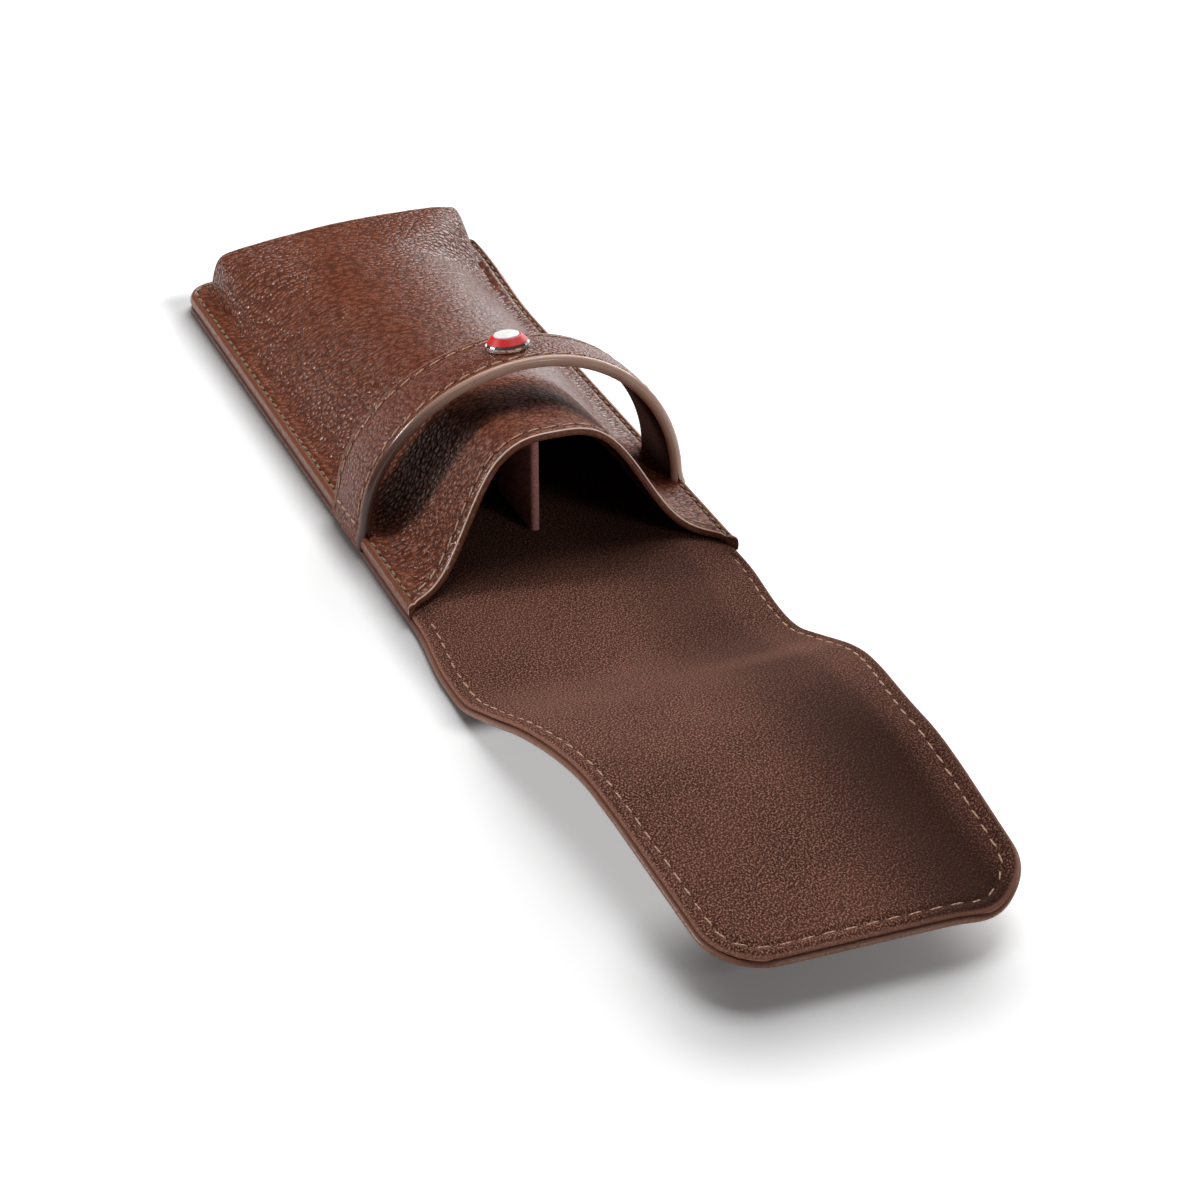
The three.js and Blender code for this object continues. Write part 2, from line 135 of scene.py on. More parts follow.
def mouthEdge(x):
    def forward(start, reach, bend):
        return reach * np.clip((np.abs(x) - start) / (half - start), 0, 1) ** bend
    return case["lipBack"] - np.where(x < 0, forward(*case["lipLeft"]), forward(*case["lipRight"]))


def cornered(past, radius):  # how far a rounded corner has come in
    return np.where(past > 0, radius - np.sqrt(np.maximum(0, radius ** 2 - np.maximum(past, 0) ** 2)), 0)


def pocketHalf(y):
    return half - cornered(y - (case["pocket"] - case["endRadius"]), case["endRadius"])


# The flap, measured along its sheet from the mouth
flap = {
    "root": 25, "rise": math.radians(19), "riseRadius": 25, "slope": 12.5,
    "crestRadius": 80, "droop": math.radians(7), "tipRun": 31,
    "shoulderFrom": 41, "shoulderTo": 75, "shoulder": 2.8, "taper": 2, "tipLeft": 8.5, "tipRight": 11,
    "bendSpacing": 11, "bends": 5,
}
riseSpan = flap["riseRadius"] * flap["rise"]
crestSpan = flap["crestRadius"] * (flap["rise"] + flap["droop"])
flapLength = flap["root"] + riseSpan + flap["slope"] + crestSpan + flap["tipRun"]


def flapHalf(along):
    narrowed = flap["shoulder"] * smoothStep(along, flap["shoulderFrom"], flap["shoulderTo"])
    tapered = flap["taper"] * np.clip((along - flap["shoulderTo"]) / (flapLength - flap["shoulderTo"]), 0, 1)
    return half - narrowed - tapered


def tipRadius(x):
    return np.where(x < 0, flap["tipLeft"], flap["tipRight"])


def sheetHalf(along, side):  # the whole back sheet: pocket behind the mouth, flap before it
    radius = tipRadius(side)
    tip = cornered(along - (flapLength - radius), radius)
    return np.where(along > 0, flapHalf(along) - tip, pocketHalf(-along))


def flapAt(along):  # underside of the sheet: y, z and turn
    y, z, turn = 0.0 * along, 0.0 * along, 0.0 * along
    left = np.array(along, float)

    def spend(length):
        nonlocal left
        used = np.clip(left, 0, length)
        left = left - used
        return used

    def run(length):
        nonlocal y, z
        y = y - length * np.cos(turn)
        z = z + length * np.sin(turn)

    def bend(length, radius, way):
        nonlocal y, z, turn
        after = turn + way * length / radius
        y = y - way * radius * (np.sin(after) - np.sin(turn))
        z = z + way * radius * (np.cos(turn) - np.cos(after))
        turn = after

    y = y - np.minimum(left, 0)
    run(spend(flap["root"]))
    bend(spend(riseSpan), flap["riseRadius"], 1)
    run(spend(flap["slope"]))
    bend(spend(crestSpan), flap["crestRadius"], -1)
    run(spend(flap["tipRun"]))
    return y, z, turn


flapWave = {
    "run": (62, 88), "rimLift": 1.0, "rimRun": (17, 25),
    "valley": 0.85, "valleyAt": 16.5, "valleyWidth": 4.2,
    "sway": -1.3, "swayIn": (4, 22), "swayOut": (28, 52),  # the root lies a little to the left
    "skew": 2.5, "skewIn": (10, 20), "skewOut": (50, 85),  # and bends sooner on its right
}


def waveAt(x, along):  # the loose leather's slow waves on the lid
    rim = flapWave["rimLift"] * smoothStep(x, *flapWave["rimRun"])
    dip = flapWave["valley"] * hump(x, flapWave["valleyAt"], flapWave["valleyWidth"])
    return smoothStep(along, *flapWave["run"]) * (rim - dip)


def flapPoint(x, along, height):
    early = thereAndBack(along, flapWave["skewIn"], flapWave["skewOut"])
    skew = flapWave["skew"] * smoothStep(x, 0, half) * early
    sway = flapWave["sway"] * thereAndBack(along, flapWave["swayIn"], flapWave["swayOut"])
    y, z, turn = flapAt(along + skew)
    height = height + waveAt(x, along) + curlAt(x, -along)
    return np.stack([x + sway, y + skew + height * np.sin(turn), z + height * np.cos(turn)], -1)


def rowPoint(point):  # millimetres from the mouth to metres in the row's frame
    shifted = np.array(point, float)
    shifted[..., 1] -= case["rowShift"]
    return shifted * mm


# Cutting and forming sheets
def cutSheet(xs, ys, edge, roundness, square=2):  # square: 2 for a round rim, more for a squarer one
    rows, columns = xs.shape
    bm = bmesh.new()
    bmesh.ops.create_grid(bm, x_segments=columns - 1, y_segments=rows - 1, size=0.5)
    layers = [bm.verts.layers.float.new(name) for name in ("flatX", "flatY", "edge")]
    bow = (1 - (1 - np.clip(edge / roundness, 0, 1)) ** square) ** (1 / square)
    for v in bm.verts:
        column = round((v.co.x + 0.5) * (columns - 1))
        row = round((v.co.y + 0.5) * (rows - 1))
        for layer, grid in zip(layers, (xs, ys, edge)):
            v[layer] = grid[row, column]
        v.co = (xs[row, column], ys[row, column], bow[row, column])
    bmesh.ops.mirror(bm, geom=bm.verts[:] + bm.edges[:] + bm.faces[:], merge_dist=1e-5, axis="Z")
    rim = [e for e in bm.edges if e.is_boundary]
    bmesh.ops.holes_fill(bm, edges=rim, sides=0)
    bmesh.ops.recalc_face_normals(bm, faces=bm.faces)
    return bm


def formSheet(bm, shape):
    flatX, flatY, edge = (bm.verts.layers.float[name] for name in ("flatX", "flatY", "edge"))
    flat = np.array([(v[flatX], v[flatY], v[edge], v.co.z) for v in bm.verts])
    formed = rowPoint(shape(*flat.T))
    uv = bm.loops.layers.uv.new("flat")
    for face in bm.faces:
        for loop in face.loops:
            loop[uv].uv = (loop.vert[flatX] * mm, loop.vert[flatY] * mm)
    for v, place in zip(bm.verts, formed):
        v.co = place
    bmesh.ops.recalc_face_normals(bm, faces=bm.faces)


def finishPiece(name, bm, materials, sharpAngle=50):
    mesh = bpy.data.meshes.new(name)
    bm.to_mesh(mesh)
    bm.free()
    piece = bpy.data.objects.new(name, mesh)
    scene.collection.objects.link(piece)
    for material in materials:
        mesh.materials.append(material)
    mesh.shade_smooth()
    mesh.set_sharp_from_angle(angle=math.radians(sharpAngle))
    return piece


def sideColumns(rim, count, leftHalf, rightHalf):  # rim distances on both sides, evenly between
    inside = np.linspace(rim[-1] - leftHalf, rightHalf - rim[-1], count)[1:-1]
    return np.concatenate([np.array(rim) - leftHalf, inside, (rightHalf - np.array(rim))[::-1]])


def roundedEdge(x, halfWidth, past, radius):  # distance to an outline with one rounded end
    side = halfWidth - np.abs(x)
    end = radius - past
    corner = radius - np.hypot(np.maximum(0, np.abs(x) - (halfWidth - radius)), np.maximum(0, past))
    inCorner = (past > 0) & (np.abs(x) > halfWidth - radius)
    return np.maximum(0, np.where(inCorner, corner, np.minimum(side, end)))


# Materials
def colour(red, green, blue):
    def linear(part):
        part = part / 255
        return part / 12.92 if part <= 0.04045 else ((part + 0.055) / 1.055) ** 2.4
    return (linear(red), linear(green), linear(blue), 1)


def plug(tree, socket, value):  # a link or a constant
    if isinstance(value, bpy.types.NodeSocket):
        tree.links.new(value, socket)
    else:
        socket.default_value = value


def addNode(tree, kind, inputs=None, **settings):
    made = tree.nodes.new(kind)
    for key, value in settings.items():
        setattr(made, key, value)
    for key, value in (inputs or {}).items():
        plug(tree, made.inputs[key], value)
    return made


def startMaterial(name, uvMap=""):
    material = bpy.data.materials.new(name)
    material.use_nodes = True
    tree = material.node_tree
    shader = tree.nodes["Principled BSDF"]
    if uvMap:
        where = addNode(tree, "ShaderNodeUVMap", uv_map=uvMap).outputs["UV"]
    else:
        where = addNode(tree, "ShaderNodeTexCoord").outputs["Object"]
    return material, tree, shader, where


def setShader(tree, shader, values):
    for name, value in values.items():
        plug(tree, shader.inputs[name], value)


def colourMix(tree, share, first, second):
    return addNode(tree, "ShaderNodeMix", {0: share, 6: first, 7: second}, data_type="RGBA").outputs[2]


def ranged(tree, value, fromLow, fromHigh, toLow, toHigh):
    inputs = {"Value": value, "From Min": fromLow, "From Max": fromHigh, "To Min": toLow, "To Max": toHigh}
    return addNode(tree, "ShaderNodeMapRange", inputs, interpolation_type="SMOOTHSTEP").outputs["Result"]


def noiseAt(tree, where, scale, detail=2, roughness=0.5, output="Fac"):
    inputs = {"Vector": where, "Scale": scale, "Detail": detail, "Roughness": roughness}
    return addNode(tree, "ShaderNodeTexNoise", inputs).outputs[output]


def maths(tree, operation, first, second=0):
    return addNode(tree, "ShaderNodeMath", {0: first, 1: second}, operation=operation).outputs[0]


def vectorMaths(tree, operation, *inputs):
    made = addNode(tree, "ShaderNodeVectorMath", dict(enumerate(inputs)), operation=operation)
    return made.outputs["Value" if operation == "LENGTH" else "Vector"]


def placeOf(tree, where):
    return addNode(tree, "ShaderNodeSeparateXYZ", {"Vector": where}).outputs


def awayFrom(tree, value, at):
    return maths(tree, "ABSOLUTE", maths(tree, "SUBTRACT", value, at))


def stored(tree, name):
    return addNode(tree, "ShaderNodeAttribute", attribute_name=name).outputs["Fac"]


def mapped(tree, where, **settings):
    return addNode(tree, "ShaderNodeMapping", {"Vector": where, **settings}).outputs["Vector"]


def raised(tree, height, depth, strength=1.0):
    inputs = {"Height": height, "Strength": strength, "Distance": depth}
    return addNode(tree, "ShaderNodeBump", inputs).outputs["Normal"]


# Domed pebbles: their height, and a mask that is 0 in the narrow creases
def cellsAt(tree, where, cell, warp):
    drift = vectorMaths(tree, "SUBTRACT", noiseAt(tree, where, 0.6 / cell, output="Color"), (0.5, 0.5, 0.5))
    moved = vectorMaths(tree, "ADD", where, vectorMaths(tree, "MULTIPLY", drift, (warp, warp, warp)))
    inputs = {"Vector": moved, "Scale": 1 / cell}
    border = addNode(tree, "ShaderNodeTexVoronoi", inputs, feature="DISTANCE_TO_EDGE").outputs["Distance"]
    centre = addNode(tree, "ShaderNodeTexVoronoi", inputs, feature="F1").outputs["Distance"]
    dome = maths(tree, "MULTIPLY", ranged(tree, centre, 0, 0.75, 1, 0), 0.7)
    height = maths(tree, "ADD", maths(tree, "MULTIPLY", ranged(tree, border, 0, 0.2, 0, 1), 0.3), dome)
    return height, ranged(tree, border, 0.01, 0.1, 0, 1)


# Each range gives two inputs, then the values at them
moulding = {
    "nearMouth": (-0.04, -0.05, 0, 1.4), "coarseCell": 2, "coarseWarp": 2.6,  # coarser towards the mouth
    "left": (-0.0145, -0.0055, 1, 0.25), "right": (0.004, 0.014, 0, 0.2),  # drawn smooth over the crown
    "flange": (0.0235, 0.0255, 1, 0.3),  # pressed flat
    # painted glints: paler pebble tops, strongest on the left flank and towards the mouth
    "fineGlintTops": (0.7, 0.98, 0, 0.3), "broadGlintTops": (0.66, 0.98, 0, 0.2), "paintedGlintTone": (204, 150, 127),
    # the lip's ridge is painted near white as a painted highlight, and is less rough for its gloss
    "ridgeAt": 0.16, "ridge": (0.04, 0.13, 1, 0), "ridgeGloss": 0.6, "paintedRidgeHighlight": (246, 214, 198),  # the lip
    "wingAcross": (-0.014, -0.004, 0, 0.3), "wingAlong": (-0.022, -0.03, 0, 1),  # duller on the right wing
    "strapAt": -0.0353, "fromStrap": (0.006, 0.0095, 0.2, 1),  # no polish under the strap
}


def mouldedRelief(tree, where, drawn, cell, pebble, height):
    place = placeOf(tree, where)
    near = ranged(tree, place["Y"], *moulding["nearMouth"])
    coarse = cellsAt(tree, drawn, cell * moulding["coarseCell"], cell * moulding["coarseWarp"])[0]
    left = ranged(tree, place["X"], *moulding["left"])
    deep = maths(tree, "ADD", left, ranged(tree, place["X"], *moulding["right"]))
    flange = ranged(tree, maths(tree, "ABSOLUTE", place["X"]), *moulding["flange"])
    height = maths(tree, "ADD", height, maths(tree, "MULTIPLY", coarse, near))
    height = maths(tree, "MULTIPLY", maths(tree, "MULTIPLY", height, deep), flange)
    # painted glints: pale pebble tops on the left flank, and coarser ones near the mouth
    fine = maths(tree, "MULTIPLY", ranged(tree, pebble, *moulding["fineGlintTops"]), left)
    broad = maths(tree, "MULTIPLY", ranged(tree, coarse, *moulding["broadGlintTops"]), near)
    return height, maths(tree, "MULTIPLY", maths(tree, "ADD", fine, broad), flange)


def mouldedFinishAndHighlight(tree, where, tone, dull, polish):
    place = placeOf(tree, where)
    ridge = ranged(tree, awayFrom(tree, stored(tree, "lip"), moulding["ridgeAt"]), *moulding["ridge"])
    # painted highlight along the lip's ridge
    tone = colourMix(tree, ridge, tone, colour(*moulding["paintedRidgeHighlight"]))
    dull = maths(tree, "MULTIPLY", dull, ranged(tree, ridge, 0, 1, 1, moulding["ridgeGloss"]))
    across = ranged(tree, place["X"], *moulding["wingAcross"])
    wing = maths(tree, "MULTIPLY", across, ranged(tree, place["Y"], *moulding["wingAlong"]))
    shaded = ranged(tree, awayFrom(tree, place["Y"], moulding["strapAt"]), *moulding["fromStrap"])
    return tone, maths(tree, "ADD", dull, wing), maths(tree, "MULTIPLY", polish, shaded)


def hide(name, light, dark, rimTones, cell, depth, roughness, stretch=(1, 1, 1), uvMap="", moulded=False):
    material, tree, shader, where = startMaterial(name, uvMap)
    drawn = mapped(tree, where, Scale=stretch)
    pebble, face = cellsAt(tree, drawn, cell, cell * 0.9)
    fold = noiseAt(tree, drawn, 0.3 / cell, 3)
    height = maths(tree, "ADD", pebble, maths(tree, "MULTIPLY", fold, 0.9))
    share = maths(tree, "ADD", pebble, maths(tree, "MULTIPLY", noiseAt(tree, where, 70, 3), 0.4))
    tone = colourMix(tree, ranged(tree, share, 0.2, 0.95, 0, 1), colour(*dark), colour(*light))
    if moulded:
        height, paintedGlints = mouldedRelief(tree, where, drawn, cell, pebble, height)
        # painted glints on the pebble tops
        tone = colourMix(tree, paintedGlints, tone, colour(*moulding["paintedGlintTone"]))
    edge = stored(tree, "edge")
    rim = colour(*rimTones[0])
    if uvMap:  # painted light: the sheet's edge is paler on the flap, where it catches the light, than along the pocket, where it sits in shade by the floor
        onFlap = ranged(tree, placeOf(tree, where)["Y"], 0, 0.012, 0, 1)
        rim = colourMix(tree, onFlap, rim, colour(*rimTones[1]))
    tone = colourMix(tree, ranged(tree, edge, 0.5, 1.2, 0.8, 0), tone, rim)
    dull = ranged(tree, face, 0, 1, roughness + 0.25, roughness)
    dull = maths(tree, "MULTIPLY", dull, ranged(tree, edge, 0.5, 1.2, 0.75, 1))
    polish = ranged(tree, face, 0, 1, 0.1, 0.4)  # matt creases
    if moulded:
        tone, dull, polish = mouldedFinishAndHighlight(tree, where, tone, dull, polish)
    relief = maths(tree, "MULTIPLY", height, ranged(tree, edge, 0.7, 2.2, 0.15, 1))
    setShader(tree, shader, {"Base Color": tone, "Roughness": dull, "Specular IOR Level": polish,
                             "Normal": raised(tree, relief, depth)})
    return material


lidLightPainting = {
    "right": (-0.004, 0.015, 0, 1), "rim": (0.0175, 0.0215, 1, 0.45), "down": (0.05, 0.075, 0.5, 0.85),
    "foldAt": 0.041, "fold": (0, 0.006, 0.14, 0), "edge": (0.1, 0.6, 0.55, 0),
}


def paintedLidLight(tree, where, tone, light, dark):  # painted shade down the right of the lid, painted highlights along its fold and its edge
    place = placeOf(tree, where)
    right = ranged(tree, place["X"], *lidLightPainting["right"])
    lidShade = maths(tree, "MULTIPLY", right, ranged(tree, place["X"], *lidLightPainting["rim"]))
    lidShade = maths(tree, "MULTIPLY", lidShade, ranged(tree, place["Y"], *lidLightPainting["down"]))
    tone = colourMix(tree, lidShade, tone, dark)
    bent = ranged(tree, awayFrom(tree, place["Y"], lidLightPainting["foldAt"]), *lidLightPainting["fold"])
    tone = colourMix(tree, maths(tree, "MULTIPLY", bent, right), tone, light)
    return colourMix(tree, ranged(tree, stored(tree, "edge"), *lidLightPainting["edge"]), tone, light)


def napped(name, light, mid, dark, depth, uvMap="", paintLidLight=False):
    material, tree, shader, where = startMaterial(name, uvMap)
    light, mid, dark = (colour(*tone) for tone in (light, mid, dark))
    nap = noiseAt(tree, mapped(tree, where, Rotation=(0, 0, 0.6), Scale=(1, 0.75, 1)), 3900, 2, 0.6)
    tufts = noiseAt(tree, where, 1300, 3, 0.6)
    patch = noiseAt(tree, where, 60, 3)
    ground = maths(tree, "ADD", maths(tree, "MULTIPLY", tufts, 0.5), maths(tree, "MULTIPLY", patch, 0.5))
    base = colourMix(tree, ranged(tree, ground, 0.3, 0.7, 0, 1), dark, mid)
    tone = colourMix(tree, ranged(tree, nap, 0.46, 0.68, 0, 1), base, light)
    # painted shade and highlights on the lid
    if paintLidLight:
        tone = paintedLidLight(tree, where, tone, light, dark)
    height = maths(tree, "ADD", nap, maths(tree, "MULTIPLY", tufts, 0.6))
    setShader(tree, shader, {"Base Color": tone, "Normal": raised(tree, height, depth), "Roughness": 0.95,
                             "Specular IOR Level": 0.1, "Sheen Weight": 0.06, "Sheen Roughness": 0.5,
                             "Sheen Tint": colour(200, 150, 130)})
    return material


def painted(name, light, dark, roughness, scale, depth, metallic=0, uvMap="", leftShade=None):
    material, tree, shader, where = startMaterial(name, uvMap)
    patch = noiseAt(tree, where, scale, 4)
    tone = colourMix(tree, patch, colour(*dark), colour(*light))
    if leftShade:  # painted shade: darker towards the strap's left leg, which faces away from the light
        across = ranged(tree, placeOf(tree, where)["X"], -0.027, -0.006, 1, 0)
        tone = colourMix(tree, across, tone, colour(*leftShade))
    setShader(tree, shader, {"Base Color": tone, "Normal": raised(tree, patch, depth, 0.3),
                             "Roughness": roughness, "Metallic": metallic})
    return material


def waxedThread(name, light, dark):
    material, tree, shader, spun = startMaterial(name, "spun")
    inputs = {"Vector": spun, "Scale": 2.2, "Distortion": 0.6}
    ply = addNode(tree, "ShaderNodeTexWave", inputs, bands_direction="DIAGONAL").outputs["Fac"]
    share = ranged(tree, maths(tree, "MULTIPLY", ply, noiseAt(tree, spun, 9)), 0.05, 0.5, 0, 1)
    tone = colourMix(tree, share, colour(*dark), colour(*light))
    setShader(tree, shader, {"Base Color": tone, "Normal": raised(tree, ply, 0.00006, 0.5),
                             "Roughness": 0.7})
    return material


pebbleHide = hide("pebbleHide", (132, 71, 47), (88, 43, 28), [(128, 78, 57)], 0.00085, 0.0003, 0.24,
                  stretch=(0.75, 1, 0.75), moulded=True)
strapHide = hide("strapHide", (134, 74, 53), (94, 49, 34), [(132, 80, 62)], 0.0008, 0.00014, 0.3)
# the back sheet's edge tones: darker along the pocket as painted shade, paler on the flap as a painted
# highlight
backHide = hide("backHide", (112, 74, 62), (84, 52, 43), [(112, 76, 66), (148, 106, 88)], 0.0006, 0.00004,
                0.4, uvMap="flat")
# True: the lid gets painted shade and highlights
flapSuede = napped("flapSuede", (168, 119, 101), (86, 52, 42), (44, 23, 17), 0.00014, "flat", True)
# dark suede, darkened further as painted shade for inside the mouth
bayLining = napped("bayLining", (70, 44, 36), (46, 27, 21), (28, 16, 12), 0.00015)
# mauve suede, painted much paler than its own tone: painted light for the divider, which stands in the
# mouth's shade
dividerSuede = napped("dividerSuede", (240, 182, 176), (222, 158, 152), (190, 128, 123), 0.0001)
# edge paint made paler than its own tone as a painted highlight for the strap's crown, with painted shade
# towards the left leg
edgePaint = painted("edgePaint", (214, 178, 160), (190, 150, 132), 0.2, 300, 0.00003, leftShade=(84, 54, 46))
strapLining = napped("strapLining", (78, 52, 45), (56, 36, 31), (38, 23, 20), 0.0001)
thread = waxedThread("thread", (226, 190, 162), (170, 128, 102))
dullThread = waxedThread("dullThread", (172, 148, 118), (104, 82, 62))
# near-black pits at the needle holes: painted shade of the holes
holeShade = painted("holeShade", (52, 29, 22), (32, 17, 13), 0.9, 6, 0.00002, uvMap="spun")
chrome = painted("chrome", (242, 242, 244), (228, 228, 232), 0.14, 400, 0.000004, metallic=1)
redEnamel = painted("redEnamel", (232, 34, 34), (214, 22, 24), 0.42, 250, 0.000004)
whiteEnamel = painted("whiteEnamel", (254, 254, 254), (248, 248, 249), 0.3, 250, 0.000004)
print("materials made:", len(bpy.data.materials))


# Pocket front: a moulded hide with a rolled mouth and a rolled flange
front = {
    "hide": 1.0, "rim": 2.42, "rimRun": (0.8, 1.6), "lip": 1.1, "lipRun": (1, 3), "flangeFull": 0.6,
    "roundness": 0.9, "lipRound": 0.5, "lipSquare": 4, "columns": 86, "step": 0.9, "straightBy": 24,
    "rimColumns": [0, 0.06, 0.2, 0.42, 0.7, 0.95, 1.15, 1.35, 1.55, 1.8, 2.2, 2.6],
    "endRows": [3.0, 3.4, 3.65, 3.85, 4.05, 4.25, 4.45, 4.65, 4.85, 5.1, 5.4, 5.9, 6.5],
    "lipRows": [0, 0.04, 0.1, 0.18, 0.28, 0.4, 0.55, 0.75, 0.95, 1.25, 1.6, 2.0, 2.3, 2.5, 2.7, 2.9, 3.1,
                3.5, 4.2],
    "lipLines": [  # height, place, width
        (0.1, 0.25, 0.16), (-0.12, 0.8, 0.22), (0.07, 1.6, 0.5), (-0.1, 2.4, 0.3),
    ],
    "seamGroove": 0.32, "seamInset": 1.35, "seamWidth": 0.32,
    "slack": 0.16, "slackScale": 0.11, "fine": 0.05, "fineScale": 0.45,
    "looseFromEnd": (2, 6), "looseFromLip": (2, 5),
}


def frontEdge(x, y):
    end = roundedEdge(x, half, y - (case["pocket"] - case["endRadius"]), case["endRadius"])
    mouth = y - mouthEdge(x)
    return np.maximum(0, np.minimum(end, mouth)), np.maximum(0, mouth), np.maximum(0, end)


def arcLengths(points):
    return np.concatenate([[0], np.cumsum(np.linalg.norm(np.diff(points, axis=0), axis=1))])


def frontGrid(rim, mouthRows, endRows, columns, step):
    near = np.arange(mouthRows[-1] + step, case["pocket"] - endRows[-1], step)
    downs = np.concatenate([mouthRows, near, case["pocket"] - np.array(endRows)[::-1]])
    xs = []
    ys = []
    for down in downs:
        fade = 1 - smoothStep(down, 0, front["straightBy"])
        y = down + fade * case["lipBack"]
        reach = float(pocketHalf(min(y, case["pocket"])))
        fine = np.linspace(-(reach - rim[-1]), reach - rim[-1], 600)
        arc = arcLengths(np.stack([fine, roof(fine, np.full_like(fine, y))], -1))
        inside = np.interp(np.linspace(0, arc[-1], columns), arc, fine)[1:-1]
        outer = reach - np.array(rim)
        x = np.concatenate([-outer, inside, outer[::-1]])
        xs.append(x)
        ys.append(down + fade * mouthEdge(x))
    return np.array(xs), np.array(ys)


def slowNoise(points, scale, seed):
    return np.array([noise.noise(Vector(p) * scale + Vector((seed, 0, 0))) for p in points])


def frontShape(x, y, edge, side):
    _, mouth, end = frontEdge(x, y)
    body = front["hide"] + (front["lip"] - front["hide"]) * (1 - smoothStep(mouth, *front["lipRun"]))
    thick = body + (front["rim"] - body) * (1 - smoothStep(end, *front["rimRun"]))
    low = np.where(end < mouth, front["flangeFull"], 0.5)  # the flange's edge is fullest near its foot
    depth = thick * np.where(side > 0, low * (1 - side), low - (1 - low) * side)
    lines = sum(high * hump(mouth, at, width) for high, at, width in front["lipLines"])
    seam = front["seamGroove"] * hump(end, front["seamInset"], front["seamWidth"])
    surface = frontPoint(x, y, np.zeros_like(x))
    slack = front["slack"] * slowNoise(surface, front["slackScale"], 3)
    fine = front["fine"] * slowNoise(surface, front["fineScale"], 9)
    loose = smoothStep(end, *front["looseFromEnd"]) * smoothStep(mouth, *front["looseFromLip"])
    depth = depth - np.where(side > 0, (lines - seam) * side + (slack + fine) * loose, 0)
    return frontPoint(x, y, depth)


def makeFront():
    endRows = front["rimColumns"] + front["endRows"]
    xs, ys = frontGrid(front["rimColumns"], front["lipRows"], endRows, front["columns"], front["step"])
    edge, mouth, end = frontEdge(xs, ys)
    atLip = mouth < end
    roundness = np.where(atLip, front["lipRound"], front["roundness"])
    bm = cutSheet(xs, ys, edge, roundness, np.where(atLip, front["lipSquare"], 2))
    flatX, flatY = (bm.verts.layers.float[name] for name in ("flatX", "flatY"))
    lip = bm.verts.layers.float.new("lip")
    for v in bm.verts:
        outer = v.co.z > -0.2
        v[lip] = v[flatY] - float(mouthEdge(np.array(v[flatX]))) if outer else 9  # 9 is clear of the lip
    formSheet(bm, frontShape)
    piece = finishPiece("pocketFront", bm, [pebbleHide])
    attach(piece, "pocket")
    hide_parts("front_panel")


makeFront()
print("pocket front made")


# Lining under the pocket front
lining = {
    "inset": 2.1, "top": 1.1, "thick": 0.5, "roundness": 0.25, "columns": 60, "step": 2.0,
    "rim": [0, 0.1, 0.25, 0.6], "endRows": [3.2, 3.6, 4.0, 4.4, 4.8, 5.4, 6.2],
}


def makeFrontLining():
    rim = [lining["inset"] + into for into in lining["rim"]]
    xs, ys = frontGrid(rim, rim, rim + lining["endRows"], lining["columns"], lining["step"])
    bm = cutSheet(xs, ys, frontEdge(xs, ys)[0] - lining["inset"], lining["roundness"])

    def shape(x, y, edge, side):
        return frontPoint(x, y, lining["top"] + lining["thick"] * (1 - side) / 2)

    formSheet(bm, shape)
    piece = finishPiece("pocketLining", bm, [bayLining])
    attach(piece, "pocket")
    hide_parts("front_lining")


makeFrontLining()
print("pocket lining made")


# Back sheet and flap, in zones that each bend across one fold line
backSheet = {
    "leather": 1.2, "leatherRound": 0.55, "pared": 0.35, "paredWidth": 1.6, "paredRun": (-3, 6),
    "suedeFoot": 1.28, "suede": 0.72, "suedeRound": 0.9,
    "suedeInset": 0.5, "pocketInset": 1.4, "insetRun": (-5, 1),
    "rim": [0, 0.05, 0.16, 0.35, 0.6, 0.9, 1.3, 1.7, 2.0, 2.3, 2.6, 2.9, 3.2, 3.6, 4.2],
    "columns": 60, "step": 0.9, "rowGap": 0.3,
    "seamInset": 2.7, "seamShift": 0.8, "shiftRun": (45, 75),  # nearer the edge on the root's right
    "seamGroove": 0.32, "seamWidth": 0.45, "pillow": 0.2, "pillowOut": 1, "pillowWidth": 0.7,
    "ripple": 0.12, "rippleScale": 0.12, "rippleRun": (3, 7), "openRun": (-2, 2),
}
sheetTop = backSheet["suedeFoot"] + backSheet["suede"]
foldAt = [flap["root"] + flap["bendSpacing"] * i for i in range(flap["bends"])]
cuts = [-case["pocket"]] + [fold + flap["bendSpacing"] / 2 for fold in foldAt[:-1]] + [flapLength]
chain = ["pocket", "flap_bend_1", "flap_bend_2", "flap_bend_3", "flap_bend_4", "flap_lid"]


def sheetEdge(x, along):
    radius = tipRadius(x)
    tip = roundedEdge(x, flapHalf(along), along - (flapLength - radius), radius)
    back = roundedEdge(x, half, -along - (case["pocket"] - case["endRadius"]), case["endRadius"])
    return np.where(along > 0, tip, back)


def suedeInset(along):
    closed = 1 - smoothStep(along, *backSheet["insetRun"])
    return backSheet["suedeInset"] + (backSheet["pocketInset"] - backSheet["suedeInset"]) * closed


def zoneGrid(zone, inset):
    first, last = cuts[zone], cuts[zone + 1]
    rim = np.array(backSheet["rim"]) + float(inset(np.array(last if zone else first)))
    count = max(3, int((last - first) / backSheet["step"]))
    stations = np.linspace(first, last, count)
    if zone == 0:
        inside = stations > first + rim[-1] + backSheet["rowGap"]
        stations = np.concatenate([first + rim, stations[inside]])
    if zone == flap["bends"] - 1:
        inside = stations < last - rim[-1] - backSheet["rowGap"]
        stations = np.concatenate([stations[inside], last - rim[::-1]])
    rows = []
    for along in stations:
        sideRim = np.array(backSheet["rim"]) + float(inset(np.array(along)))
        halves = [float(sheetHalf(np.array(along), side)) for side in (-1, 1)]
        rows.append(sideColumns(sideRim, backSheet["columns"], *halves))
    xs = np.array(rows)
    return xs, np.repeat(stations[:, None], xs.shape[1], 1)


